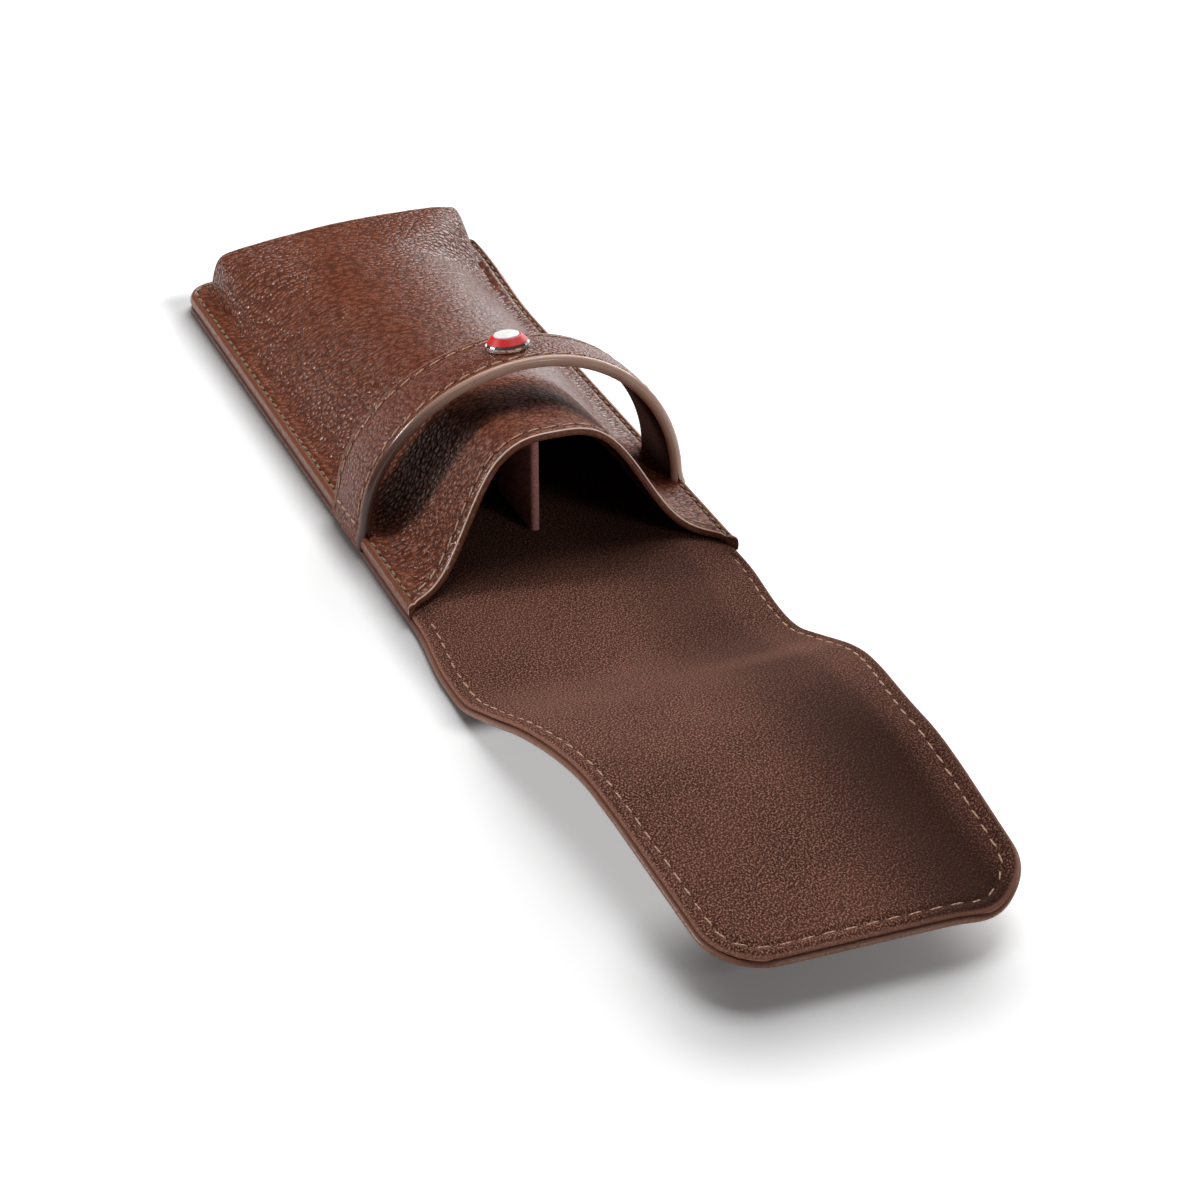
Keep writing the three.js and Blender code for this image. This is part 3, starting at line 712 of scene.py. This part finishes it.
def bendZone(piece, zone):
    fold, reach = foldAt[zone], flap["bendSpacing"] / 2
    ends = [flapPoint(np.array(0.0), np.array(fold + way * reach), sheetTop) for way in (-1, 1)]
    start, end = (Vector(rowPoint(point * [0, 1, 1])) for point in ends)  # straight down the middle
    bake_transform(piece, chain[zone], chain[zone + 1], start=start, end=end)


def sheetNodes(zone, kind):
    named = {"leather": "back_leather", "lining": "back_lining"}[kind]
    if zone == 0:
        return [named]
    strips = [f"flap_bend_{zone}_{kind}"]
    return strips + ([f"flap_lid_{kind}"] if zone == flap["bends"] - 1 else [])


def leatherShape(x, along, edge, side):  # pared thin round the flap
    opened = smoothStep(along, *backSheet["paredRun"])
    pared = backSheet["pared"] * (1 - smoothStep(edge, 0, backSheet["paredWidth"])) * opened * (1 - side) / 2
    return flapPoint(x, along, backSheet["leather"] * (1 + side) / 2 + pared)


def seamInset(x, along):
    shift = backSheet["seamShift"] * (1 - smoothStep(along, *backSheet["shiftRun"]))
    return backSheet["seamInset"] - np.where(x > 0, shift, 0)


def suedeTop(x, along, edge):
    rim = edge + suedeInset(along)
    row = seamInset(x, along)
    groove = backSheet["seamGroove"] * hump(rim, row, backSheet["seamWidth"])
    pillow = backSheet["pillow"] * hump(rim, row - backSheet["pillowOut"], backSheet["pillowWidth"])
    flat = np.stack([x, along, 0 * x], -1)
    ripple = backSheet["ripple"] * slowNoise(flat, backSheet["rippleScale"], 5)
    ripple = ripple * smoothStep(edge, *backSheet["rippleRun"])
    return (pillow - groove + ripple) * smoothStep(along, *backSheet["openRun"])


def suedeShape(x, along, edge, side):
    height = backSheet["suedeFoot"] + backSheet["suede"] * (1 + side) / 2
    top = np.where(side > 0, suedeTop(x, along, edge) * side, 0)
    return flapPoint(x, along, height + top)


def makeSheets():
    for zone in range(flap["bends"]):
        xs, ys = zoneGrid(zone, lambda along: 0 * along)
        bm = cutSheet(xs, ys, sheetEdge(xs, ys), backSheet["leatherRound"])
        formSheet(bm, leatherShape)
        piece = finishPiece(f"backLeather_{zone + 1}", bm, [backHide])
        bendZone(piece, zone)
        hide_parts(*sheetNodes(zone, "leather"))
        xs, ys = zoneGrid(zone, suedeInset)
        bm = cutSheet(xs, ys, sheetEdge(xs, ys) - suedeInset(ys), backSheet["suedeRound"])
        formSheet(bm, suedeShape)
        piece = finishPiece(f"backSuede_{zone + 1}", bm, [flapSuede])
        bendZone(piece, zone)
        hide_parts(*sheetNodes(zone, "lining"))


makeSheets()
print("back sheet and flap made")


# Holding strap: two bands, painted together along their edges
strap = {
    "setBack": 22, "width": 14.4, "rise": 6, "thick": 2.0, "span": 27.8, "lean": 1.6, "foot": 4.0,
    "heel": math.asin(1.4 / 26), "innerHeel": -0.03,  # where the arch starts, as an angle
    "tabOut": 28.4, "tabRows": [1.2, 1.8, 2.7, 3.4, 3.9], "tabSwell": [0, 0, -0.02, -0.12, -0.35],
    "tabThick": 0.55, "tabPare": (2.4, 3.5), "overlap": 0.02, "endFull": 3, "paintWidth": 0.9,
    "crown": 0.18, "crownRun": (2.1, 6), "seamInset": 2.1, "groove": 0.16, "grooveWidth": 0.4,
    "rim": [0, 0.05, 0.16, 0.35, 0.6, 0.85, 1.1, 1.5, 1.8, 2.1, 2.4, 2.8, 3.4],
    "endRows": [0.06, 0.18, 0.35], "columns": 16, "step": 0.7,
}


def strapArch(turn, y):
    rise = crownAt(y) + strap["rise"] + strap["thick"] - strap["foot"]
    x = -strap["span"] * np.cos(turn) + strap["lean"] * np.sin(turn) ** 2
    z = strap["foot"] + rise * np.sin(turn)
    alongX = strap["span"] * np.sin(turn) + strap["lean"] * np.sin(2 * turn)
    alongZ = rise * np.cos(turn)
    size = np.hypot(alongX, alongZ)
    return x, z, -alongZ / size, alongX / size


def strapLine(y, tabs):  # outer face of the strap at one y, as x, z, outward x, outward z
    heel = strap["heel"] if tabs else strap["innerHeel"]
    turns = np.linspace(heel, math.pi - heel, 241)
    x, z, outX, outZ = strapArch(turns, np.full_like(turns, y))
    if tabs:
        tabZ = np.array(strap["tabRows"])
        tabX = strap["tabOut"] + np.array(strap["tabSwell"])
        x = np.concatenate([-tabX, x, tabX[::-1]])
        z = np.concatenate([tabZ, z, tabZ[::-1]])
        outX = np.concatenate([-np.ones_like(tabX), outX, np.ones_like(tabX)])
        outZ = np.concatenate([np.zeros_like(tabX), outZ, np.zeros_like(tabX)])
    return arcLengths(np.stack([x, z], -1)), x, z, outX, outZ


def strapPoint(share, across, depth, tabs):  # share runs from one end of the band to the other
    lines = [strapLine(strap["setBack"] + part * strap["width"], tabs) for part in (0, 0.5, 1)]
    made = []
    for arc, x, z, outX, outZ in lines:
        at = share * arc[-1]
        px, pz, nx, nz = (np.interp(at, arc, line) for line in (x, z, outX, outZ))
        pared = strap["tabThick"] / strap["thick"] * 2
        thin = pared + (1 - pared) * smoothStep(pz, *strap["tabPare"]) if tabs else 1.0
        made.append(np.stack([px - nx * depth * thin, pz - nz * depth * thin], -1))
    weight = across[..., None]
    near = 2 * (weight - 0.5) * (weight - 1)
    middle = 4 * weight * (1 - weight)
    far = 2 * weight * (weight - 0.5)
    flat = made[0] * near + made[1] * middle + made[2] * far
    y = strap["setBack"] + across * strap["width"]
    return np.stack([flat[..., 0], y, flat[..., 1]], -1)


def makeStrapBand(name, tabs, upper, materials, nodes):
    arc = strapLine(strap["setBack"], tabs)[0]
    rim = np.array(strap["rim"])
    wide = strap["width"] / 2
    columns = sideColumns(rim, strap["columns"], wide, wide) + wide
    along = np.linspace(0, arc[-1], int(arc[-1] / strap["step"]))
    endRows = np.array(strap["endRows"])
    along = np.concatenate([[0], endRows, along[1:-1], arc[-1] - endRows[::-1], [arc[-1]]])
    xs, ys = np.meshgrid(columns, along)
    sideGap = np.minimum(xs, strap["width"] - xs)
    endGap = np.minimum(ys, arc[-1] - ys)
    middle = strap["thick"] / 2
    edge = np.minimum(sideGap, endGap * strap["endFull"])
    bm = cutSheet(xs, ys, edge, middle)

    def shape(x, y, edge, side):
        gap = np.minimum(x, strap["width"] - x)
        crown = strap["crown"] * smoothStep(gap, *strap["crownRun"])
        groove = strap["groove"] * hump(gap, strap["seamInset"], strap["grooveWidth"])
        if upper:
            depth = np.where(side > 0, middle - (middle + crown - groove) * side, middle + strap["overlap"])
        else:
            depth = np.where(side > 0, middle - strap["overlap"], middle - middle * side)
        return strapPoint(y / arc[-1], x / strap["width"], depth, tabs)

    formSheet(bm, shape)
    edgeLayer = bm.verts.layers.float["edge"]
    for face in bm.faces:
        face.material_index = 1 if max(v[edgeLayer] for v in face.verts) < strap["paintWidth"] else 0
    piece = finishPiece(name, bm, materials)
    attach(piece, "pocket")
    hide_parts(*nodes)


makeStrapBand("strapBand", True, True, [strapHide, edgePaint], ["strap_leather"])
makeStrapBand("strapInner", False, False, [strapLining, edgePaint], ["strap_lining", "strap_core"])
print("strap made")


# Button: turned parts on one axis, square to the strap
button = {
    "steps": 64, "sharp": 40, "baseSteps": 20, "baseSharp": 12,  # the base is cut in flats
    "base": [(0, -3.0), (0.9, -3.0), (0.9, 0.06), (3.42, 0.06), (3.6, 0.26), (3.6, 0.85), (3.36, 1.2),
             (2.1, 1.2), (2.1, 1.3), (0, 1.3)],
    "ring": [(2.12, 1.22), (3.34, 1.22), (3.34, 1.3), (2.44, 2.18), (2.36, 2.25), (2.26, 2.27),
             (2.12, 2.24)],
    "disc": [(0, 1.35), (2.1, 1.35), (2.1, 2.3), (2.05, 2.4), (1.92, 2.46), (0, 2.5)],
    "washer": [(1.0, -2.8), (2.5, -2.8), (2.6, -2.7), (2.6, -2.4), (2.5, -2.3), (1.0, -2.3)],
}


def buttonFrame():
    turn = math.pi / 2 - strap["lean"] / strap["span"]
    y = strap["setBack"] + strap["width"] / 2

    def at(angle, back):
        x, z, _, _ = strapArch(np.array(angle), np.array(back))
        return Vector((float(x), back, float(z)))

    seat = at(turn, y)
    up = (at(turn + 0.01, y) - seat).cross(at(turn, y + 0.1) - seat).normalized()
    turnTo = Vector((0, 0, 1)).rotation_difference(up).to_matrix().to_4x4()
    place = Vector(rowPoint(np.array(seat)))
    return Matrix.Translation(place) @ turnTo @ Matrix.Scale(mm, 4)


def makeTurned(name, profile, closed, material, node, steps=button["steps"],
               sharp=button["sharp"]):
    bm = bmesh.new()
    line = [bm.verts.new((radius, 0, height)) for radius, height in profile]
    pairs = list(zip(line, line[1:])) + ([(line[-1], line[0])] if closed else [])
    edges = [bm.edges.new(pair) for pair in pairs]
    bmesh.ops.spin(bm, geom=line + edges, cent=(0, 0, 0), axis=(0, 0, 1), angle=2 * math.pi, steps=steps,
                   use_merge=True)
    bmesh.ops.remove_doubles(bm, verts=bm.verts, dist=1e-4)
    bmesh.ops.recalc_face_normals(bm, faces=bm.faces)
    bmesh.ops.transform(bm, matrix=buttonFrame(), verts=bm.verts)
    piece = finishPiece(name, bm, [material], sharp)
    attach(piece, "pocket")
    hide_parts(node)


makeTurned("buttonBase", button["base"], False, chrome, "button_base", button["baseSteps"],
           button["baseSharp"])
makeTurned("buttonRing", button["ring"], True, redEnamel, "button_red_ring")
makeTurned("buttonDisc", button["disc"], False, whiteEnamel, "button_white_disc")
makeTurned("buttonWasher", button["washer"], True, chrome, "button_washer")
print("button made")


# Divider between the bays: an upright suede web
divider = {
    "from": 17, "to": 114.6, "thick": 1.5, "foot": 2.1, "roofGap": 1.95, "round": 0.7,
    "wave": 0.35, "waveRun": 17, "straightFoot": 8,
    "rim": [0, 0.05, 0.18, 0.4, 0.7, 1.2], "columns": 60, "rows": 16,
}


def makeDivider():
    rim = np.array(divider["rim"])
    length = divider["to"] - divider["from"]
    along = np.concatenate([rim, np.linspace(2, length - 2, divider["columns"]), length - rim[::-1]])
    shares = np.linspace(0, 1, divider["rows"])
    tall = roof(np.zeros_like(along), along + divider["from"]) - divider["roofGap"] - divider["foot"]
    xs = np.repeat(along[:, None], len(shares) + len(rim) - 1, 1)
    ys = np.array([np.concatenate([shares[:-1] * (high - rim[-1]), high - rim[::-1]]) for high in tall])
    edge = np.minimum(np.minimum(xs, length - xs), tall[:, None] - ys)
    bm = cutSheet(xs, ys, np.maximum(0, edge), divider["round"])

    def shape(x, y, edge, side):
        lean = divider["wave"] * np.sin(x / divider["waveRun"]) * np.minimum(1, y / divider["straightFoot"])
        return np.stack([lean + divider["thick"] / 2 * side, divider["from"] + x, divider["foot"] + y], -1)

    formSheet(bm, shape)
    piece = finishPiece("dividerWeb", bm, [dividerSuede])
    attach(piece, "pocket")
    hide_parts("divider")


makeDivider()
print("divider made")


# Stitching: each stitch is a short twisted grain of thread between two needle holes
stitching = {
    "flap": {"pitch": 3.05, "length": 2.15, "width": 0.29, "slant": 5, "sink": 0.12},
    "strap": {"pitch": 2.8, "length": 2.35, "width": 0.42, "slant": 9, "sink": 0.04},
    "mouth": {"pitch": 2.85, "length": 2.35, "width": 0.38, "slant": 8, "sink": 0.06},
    "seam": {"pitch": 2.5, "length": 1.85, "width": 0.5, "slant": 6, "sink": 0.05},
    "slantError": 3, "lengthError": (-0.14, 0.06), "seed": 11,
    "hole": 0.15, "holeDeep": 0.1, "holeOut": 0.08, "holeSink": 0.05,
    "flapStart": {-1: 2.8, 1: 0.9}, "flapLift": 0.1,  # from the mouth, left and right
    "mouthInset": 2.4, "mouthEnd": 2.2, "mouthLift": 0.08,
    "seamStart": 1.6, "seamLift": 0.12, "strapClear": 0.4,
    "strapStart": 5.4, "strapLift": 0.1, "strapReach": 0.004,
    "footRow": 3.9, "footCount": 4, "footFrom": 0.16, "footSpan": 0.68, "footLift": 0.16, "footReach": 0.02,
}
hand = np.random.default_rng(stitching["seed"])  # no two stitches are quite alike


# Centres and directions on a flat line, spaced evenly along the same line on the surface
def evenPlaces(surface, flat, pitch):
    arc = arcLengths(surface)
    count = max(1, int(arc[-1] / pitch))
    rest = (arc[-1] - count * pitch) / 2

    def at(step):
        return np.array([np.interp(rest + step * pitch, arc, column) for column in flat.T])

    return [(at(i + 0.5), at(i + 0.7) - at(i + 0.3)) for i in range(count)]


def sewStitches(name, stitches, kind, material):
    size = stitching[kind]
    bm = bmesh.new()
    bm.loops.layers.uv.new("spun")
    holes = []
    for centre, along, normal in stitches:
        up = Vector(normal).normalized()
        slant = math.radians(size["slant"] + hand.normal(0, stitching["slantError"]))
        ahead = Matrix.Rotation(slant, 3, up) @ Vector(along).normalized()
        side = up.cross(ahead).normalized()
        length = size["length"] * (1 + hand.uniform(*stitching["lengthError"]))
        place = Vector(rowPoint(np.array(centre))) - up * size["sink"] * hand.uniform(0, 1) * mm
        sizes = (length / 2, size["width"] / 2, size["width"] / 2)
        axes = [axis * reach * mm for axis, reach in zip((ahead, side, up), sizes)]
        turned = Matrix([[axis[k] for axis in axes] + [place[k]] for k in range(3)] + [[0, 0, 0, 1]])
        bmesh.ops.create_uvsphere(bm, u_segments=8, v_segments=6, radius=1, calc_uvs=True,
                                  matrix=turned @ Matrix.Rotation(math.pi / 2, 4, "Y"))
        flat = Vector((0, 0, 1)).rotation_difference(up).to_matrix().to_4x4()
        out = ahead * (length / 2 + stitching["holeOut"]) * mm
        low = place - up * stitching["holeSink"] * mm
        holes += [(low - out, flat), (low + out, flat)]
    firstHole = len(bm.faces)
    # the needle holes are small dark pits: painted shade
    pit = Matrix.Diagonal((stitching["hole"] * mm, stitching["hole"] * mm, stitching["holeDeep"] * mm, 1))
    for place, flat in holes:
        bmesh.ops.create_uvsphere(bm, u_segments=8, v_segments=4, radius=1, calc_uvs=True,
                                  matrix=Matrix.Translation(place) @ flat @ pit)
    bm.faces.ensure_lookup_table()
    for face in bm.faces[firstHole:]:
        face.material_index = 1
    return finishPiece(name, bm, [material, holeShade], 80)


def flapSeam():
    runs = []
    for way in (1, -1):
        side = np.linspace(stitching["flapStart"][way], flapLength - backSheet["seamInset"], 400)
        inset = seamInset(way + 0 * side, side)
        radius = float(tipRadius(way))
        past = side - (flapLength - radius)
        turned = np.sqrt(np.maximum(0, (radius - inset) ** 2 - np.maximum(past, 0) ** 2))
        x = flapHalf(side) - np.where(past > 0, radius - turned, inset)
        runs.append(np.stack([way * x, side], -1))
    return np.concatenate([runs[0], runs[1][::-1]])


def makeFlapStitches():
    byZone = [[] for _ in range(flap["bends"])]
    lift = sheetTop - backSheet["seamGroove"] + stitching["flapLift"]
    seam = flapSeam()

    def on(spot, height):
        return flapPoint(np.array(spot[0]), np.array(spot[1]), height)

    for centre, along in evenPlaces(seam, seam, stitching["flap"]["pitch"]):
        zone = next(i for i in range(flap["bends"]) if centre[1] <= cuts[i + 1])
        place = on(centre, lift)
        ahead = on(centre + along * 0.1, lift) - on(centre - along * 0.1, lift)
        byZone[zone].append((place, ahead, on(centre, lift + 1) - place))
    for zone, stitches in enumerate(byZone):
        piece = sewStitches(f"flapStitches_{zone + 1}", stitches, "flap", thread)
        bendZone(piece, zone)
        if zone == 0:
            nodes = ["flap_root_thread_left", "flap_root_thread_right"]
        else:
            nodes = [f"flap_bend_{zone}_thread_{s}" for s in ("left", "right")]
        if zone == flap["bends"] - 1:
            nodes.append("flap_lid_thread")
        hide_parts(*nodes)


def sewOnFront(name, line, kind, sink, material):
    surface = frontPoint(line[:, 0], line[:, 1], np.zeros(len(line)))
    stitches = []
    for centre, along in evenPlaces(surface, line, stitching[kind]["pitch"]):
        x, y = np.array(centre[0]), np.array(centre[1])
        low, high = frontPoint(x, y, sink), frontPoint(x, y, sink - 1)
        step = along / np.linalg.norm(along) * 0.3
        ahead = frontPoint(x + step[0], y + step[1], sink) - frontPoint(x - step[0], y - step[1], sink)
        stitches.append((low, ahead, high - low))
    return sewStitches(name, stitches, kind, material)


def rideThread(piece, *nodes):
    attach(piece, "pocket")
    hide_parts(*nodes)


def makePocketStitches():
    x = np.linspace(-half + stitching["mouthEnd"], half - stitching["mouthEnd"], 300)
    row = np.stack([x, mouthEdge(x) + stitching["mouthInset"]], -1)
    rideThread(sewOnFront("mouthStitches", row, "mouth", -stitching["mouthLift"], thread), "mouth_thread")
    inset = front["seamInset"]
    sink = front["seamGroove"] - stitching["seamLift"]
    for side, name in ((-1, "left"), (1, "right")):
        start = float(mouthEdge(np.array(side * half))) + stitching["seamStart"]
        y = np.linspace(start, strap["setBack"] - stitching["strapClear"], 60)
        run = np.stack([np.full_like(y, side * (half - inset)), y], -1)
        rideThread(sewOnFront(f"seamStitches_{name}", run, "seam", sink, dullThread), f"seam_thread_{name}")
    radius = case["endRadius"]
    y = np.linspace(strap["setBack"] + strap["width"] + stitching["strapClear"], case["pocket"] - inset, 400)
    past = np.maximum(0, y - (case["pocket"] - radius))
    x = half - radius + np.sqrt(np.maximum(0, (radius - inset) ** 2 - past ** 2))
    right = np.stack([x, y], -1)
    loop = np.concatenate([right, (right * [-1, 1])[::-1]])
    rideThread(sewOnFront("seamStitches_rear", loop, "seam", sink, dullThread), "seam_thread_rear")


def strapSpot(share, across, depth):
    return strapPoint(np.array(share), np.array(across), np.array(depth), True)


def makeStrapStitches():
    arc = strapLine(strap["setBack"], True)[0][-1]
    sink = strap["groove"] - stitching["strapLift"]
    start = stitching["strapStart"] / arc
    reach = stitching["strapReach"]
    nearRow = strap["seamInset"] / strap["width"]
    for name, across in (("near", nearRow), ("far", 1 - nearRow)):
        shares = np.linspace(start, 1 - start, 300)
        lengths = arcLengths(np.array([strapSpot(share, across, sink) for share in shares]))
        count = int(lengths[-1] / stitching["strap"]["pitch"])
        stitches = []
        for i in range(count):
            share = np.interp(lengths[-1] * (i + 0.5) / count, lengths, shares)
            place = strapSpot(share, across, sink)
            ahead = strapSpot(share + reach, across, sink) - strapSpot(share - reach, across, sink)
            stitches.append((place, ahead, strapSpot(share, across, sink - 1) - place))
        rideThread(sewStitches(f"strapStitches_{name}", stitches, "strap", thread), f"strap_thread_{name}")
    footRow = stitching["footRow"] / arc
    reach = stitching["footReach"]
    for name, share in (("left", footRow), ("right", 1 - footRow)):
        stitches = []
        for i in range(stitching["footCount"]):
            across = stitching["footFrom"] + stitching["footSpan"] * (i + 0.5) / stitching["footCount"]
            place = strapSpot(share, across, -stitching["footLift"])
            ahead = strapSpot(share, across + reach, 0) - strapSpot(share, across - reach, 0)
            stitches.append((place, ahead, strapSpot(share, across, -1) - place))
        piece = sewStitches(f"strapFootStitches_{name}", stitches, "strap", thread)
        rideThread(piece, f"strap_foot_thread_{name}")


makeFlapStitches()
makePocketStitches()
makeStrapStitches()
print("stitching made")


# Floor, light and camera
studio = {
    "floorSize": 6.0, "floorTone": 0.94, "floorLift": (0.04, 0.45), "worldLight": 0.045,
    "paintedShadePrints": [  # painted shade: the lift is lower near the pocket and the tip, and grows away from them: middle, half size, run
        ((-0.005, -0.01525, 0), (0.0235, 0.07975, 0), (0.0005, 0.0062)),
        ((-0.006, -0.172, 0), (0.01, 0.003, 0), (0.003, 0.022)),
    ],
    "camera": (-162.3, -486.8, 251.6), "pitch": math.radians(29.26), "yaw": math.radians(21.53), "lens": 99,
    "lampAim": (0, -0.02, 0), "screened": "leftGlint",  # this lamp is screened from the floor
    "lamps": [
        {"name": "overhead", "at": (0.3, 0.22, 1.13), "size": (0.8, 0.8), "power": 7.5, "roll": 0},
        {"name": "frontRight", "at": (0.43, -1.02, 0.46), "size": (0.25, 0.25), "power": 1.8, "roll": 0},
        {"name": "leftGlint", "at": (-0.64, 0.26, 0.5), "size": (0.17, 0.17), "power": 3.8, "roll": 0},
        {"name": "rearRight", "at": (0.854, 0.825, 0.529), "size": (0.9, 0.95), "power": 10, "roll": -28},
    ],
}


def gapTo(tree, where, middle, reach):  # distance from a rectangle on the floor
    away = vectorMaths(tree, "ABSOLUTE", vectorMaths(tree, "SUBTRACT", where, middle))
    past = vectorMaths(tree, "MAXIMUM", vectorMaths(tree, "SUBTRACT", away, reach), (0, 0, 0))
    return vectorMaths(tree, "LENGTH", past)


def makeFloor():
    bm = bmesh.new()
    bmesh.ops.create_grid(bm, x_segments=2, y_segments=2, size=studio["floorSize"] / 2)
    mesh = bpy.data.meshes.new("floor")
    bm.to_mesh(mesh)
    bm.free()
    floor = bpy.data.objects.new("floor", mesh)
    scene.collection.objects.link(floor)
    material, tree, shader, where = startMaterial("paleFloor")
    tone = studio["floorTone"]
    setShader(tree, shader, {"Base Color": (tone, tone, tone, 1), "Roughness": 1, "Specular IOR Level": 0})
    path = addNode(tree, "ShaderNodeLightPath").outputs
    seen = maths(tree, "MAXIMUM", path["Is Camera Ray"], path["Is Glossy Ray"])
    seen = maths(tree, "MAXIMUM", seen, path["Is Transmission Ray"])
    # painted shade on the floor near the pocket and the tip's rest place
    lifts = []
    for middle, reach, run in studio["paintedShadePrints"]:
        lifts.append(ranged(tree, gapTo(tree, where, middle, reach), *run, *studio["floorLift"]))
    glow = maths(tree, "MULTIPLY", seen, maths(tree, "MINIMUM", *lifts))
    lift = addNode(tree, "ShaderNodeEmission", {"Strength": glow})
    both = addNode(tree, "ShaderNodeAddShader", {0: shader.outputs[0], 1: lift.outputs[0]})
    tree.links.new(both.outputs[0], tree.nodes["Material Output"].inputs["Surface"])
    mesh.materials.append(material)
    return floor


def makeWorld():
    world = bpy.data.worlds.new("studio")
    scene.world = world
    world.use_nodes = True
    back = world.node_tree.nodes["Background"]
    back.inputs["Color"].default_value = (1, 1, 1, 1)
    back.inputs["Strength"].default_value = studio["worldLight"]


def makeLamps(floor):
    for lamp in studio["lamps"]:
        data = bpy.data.lights.new(lamp["name"], "AREA")
        data.shape = "RECTANGLE"
        data.size, data.size_y = lamp["size"]
        data.energy = lamp["power"]
        made = bpy.data.objects.new(lamp["name"], data)
        scene.collection.objects.link(made)
        made.location = lamp["at"]
        made.rotation_mode = "QUATERNION"
        aim = (Vector(studio["lampAim"]) - Vector(lamp["at"])).to_track_quat("-Z", "Y")
        made.rotation_quaternion = aim @ Quaternion((0, 0, 1), math.radians(lamp["roll"]))
        if lamp["name"] == studio["screened"]:  # it would fill the shadow
            screened = bpy.data.collections.new("screenedFromLamp")
            screened.objects.link(floor)
            screened.collection_objects[0].light_linking.link_state = "EXCLUDE"
            made.light_linking.receiver_collection = screened


def makeCamera():
    data = bpy.data.cameras.new("photoCamera")
    data.sensor_width = 36
    data.lens = studio["lens"]
    camera = bpy.data.objects.new("photoCamera", data)
    scene.collection.objects.link(camera)
    camera.location = Vector(studio["camera"]) * mm
    pitch, yaw = studio["pitch"], studio["yaw"]
    ahead = Vector((math.cos(pitch) * math.sin(yaw), math.cos(pitch) * math.cos(yaw), -math.sin(pitch)))
    camera.rotation_mode = "QUATERNION"
    camera.rotation_quaternion = ahead.to_track_quat("-Z", "Y")
    data.clip_start = 0.01
    scene.camera = camera


floor = makeFloor()
makeWorld()
makeLamps(floor)
makeCamera()
print("studio made")
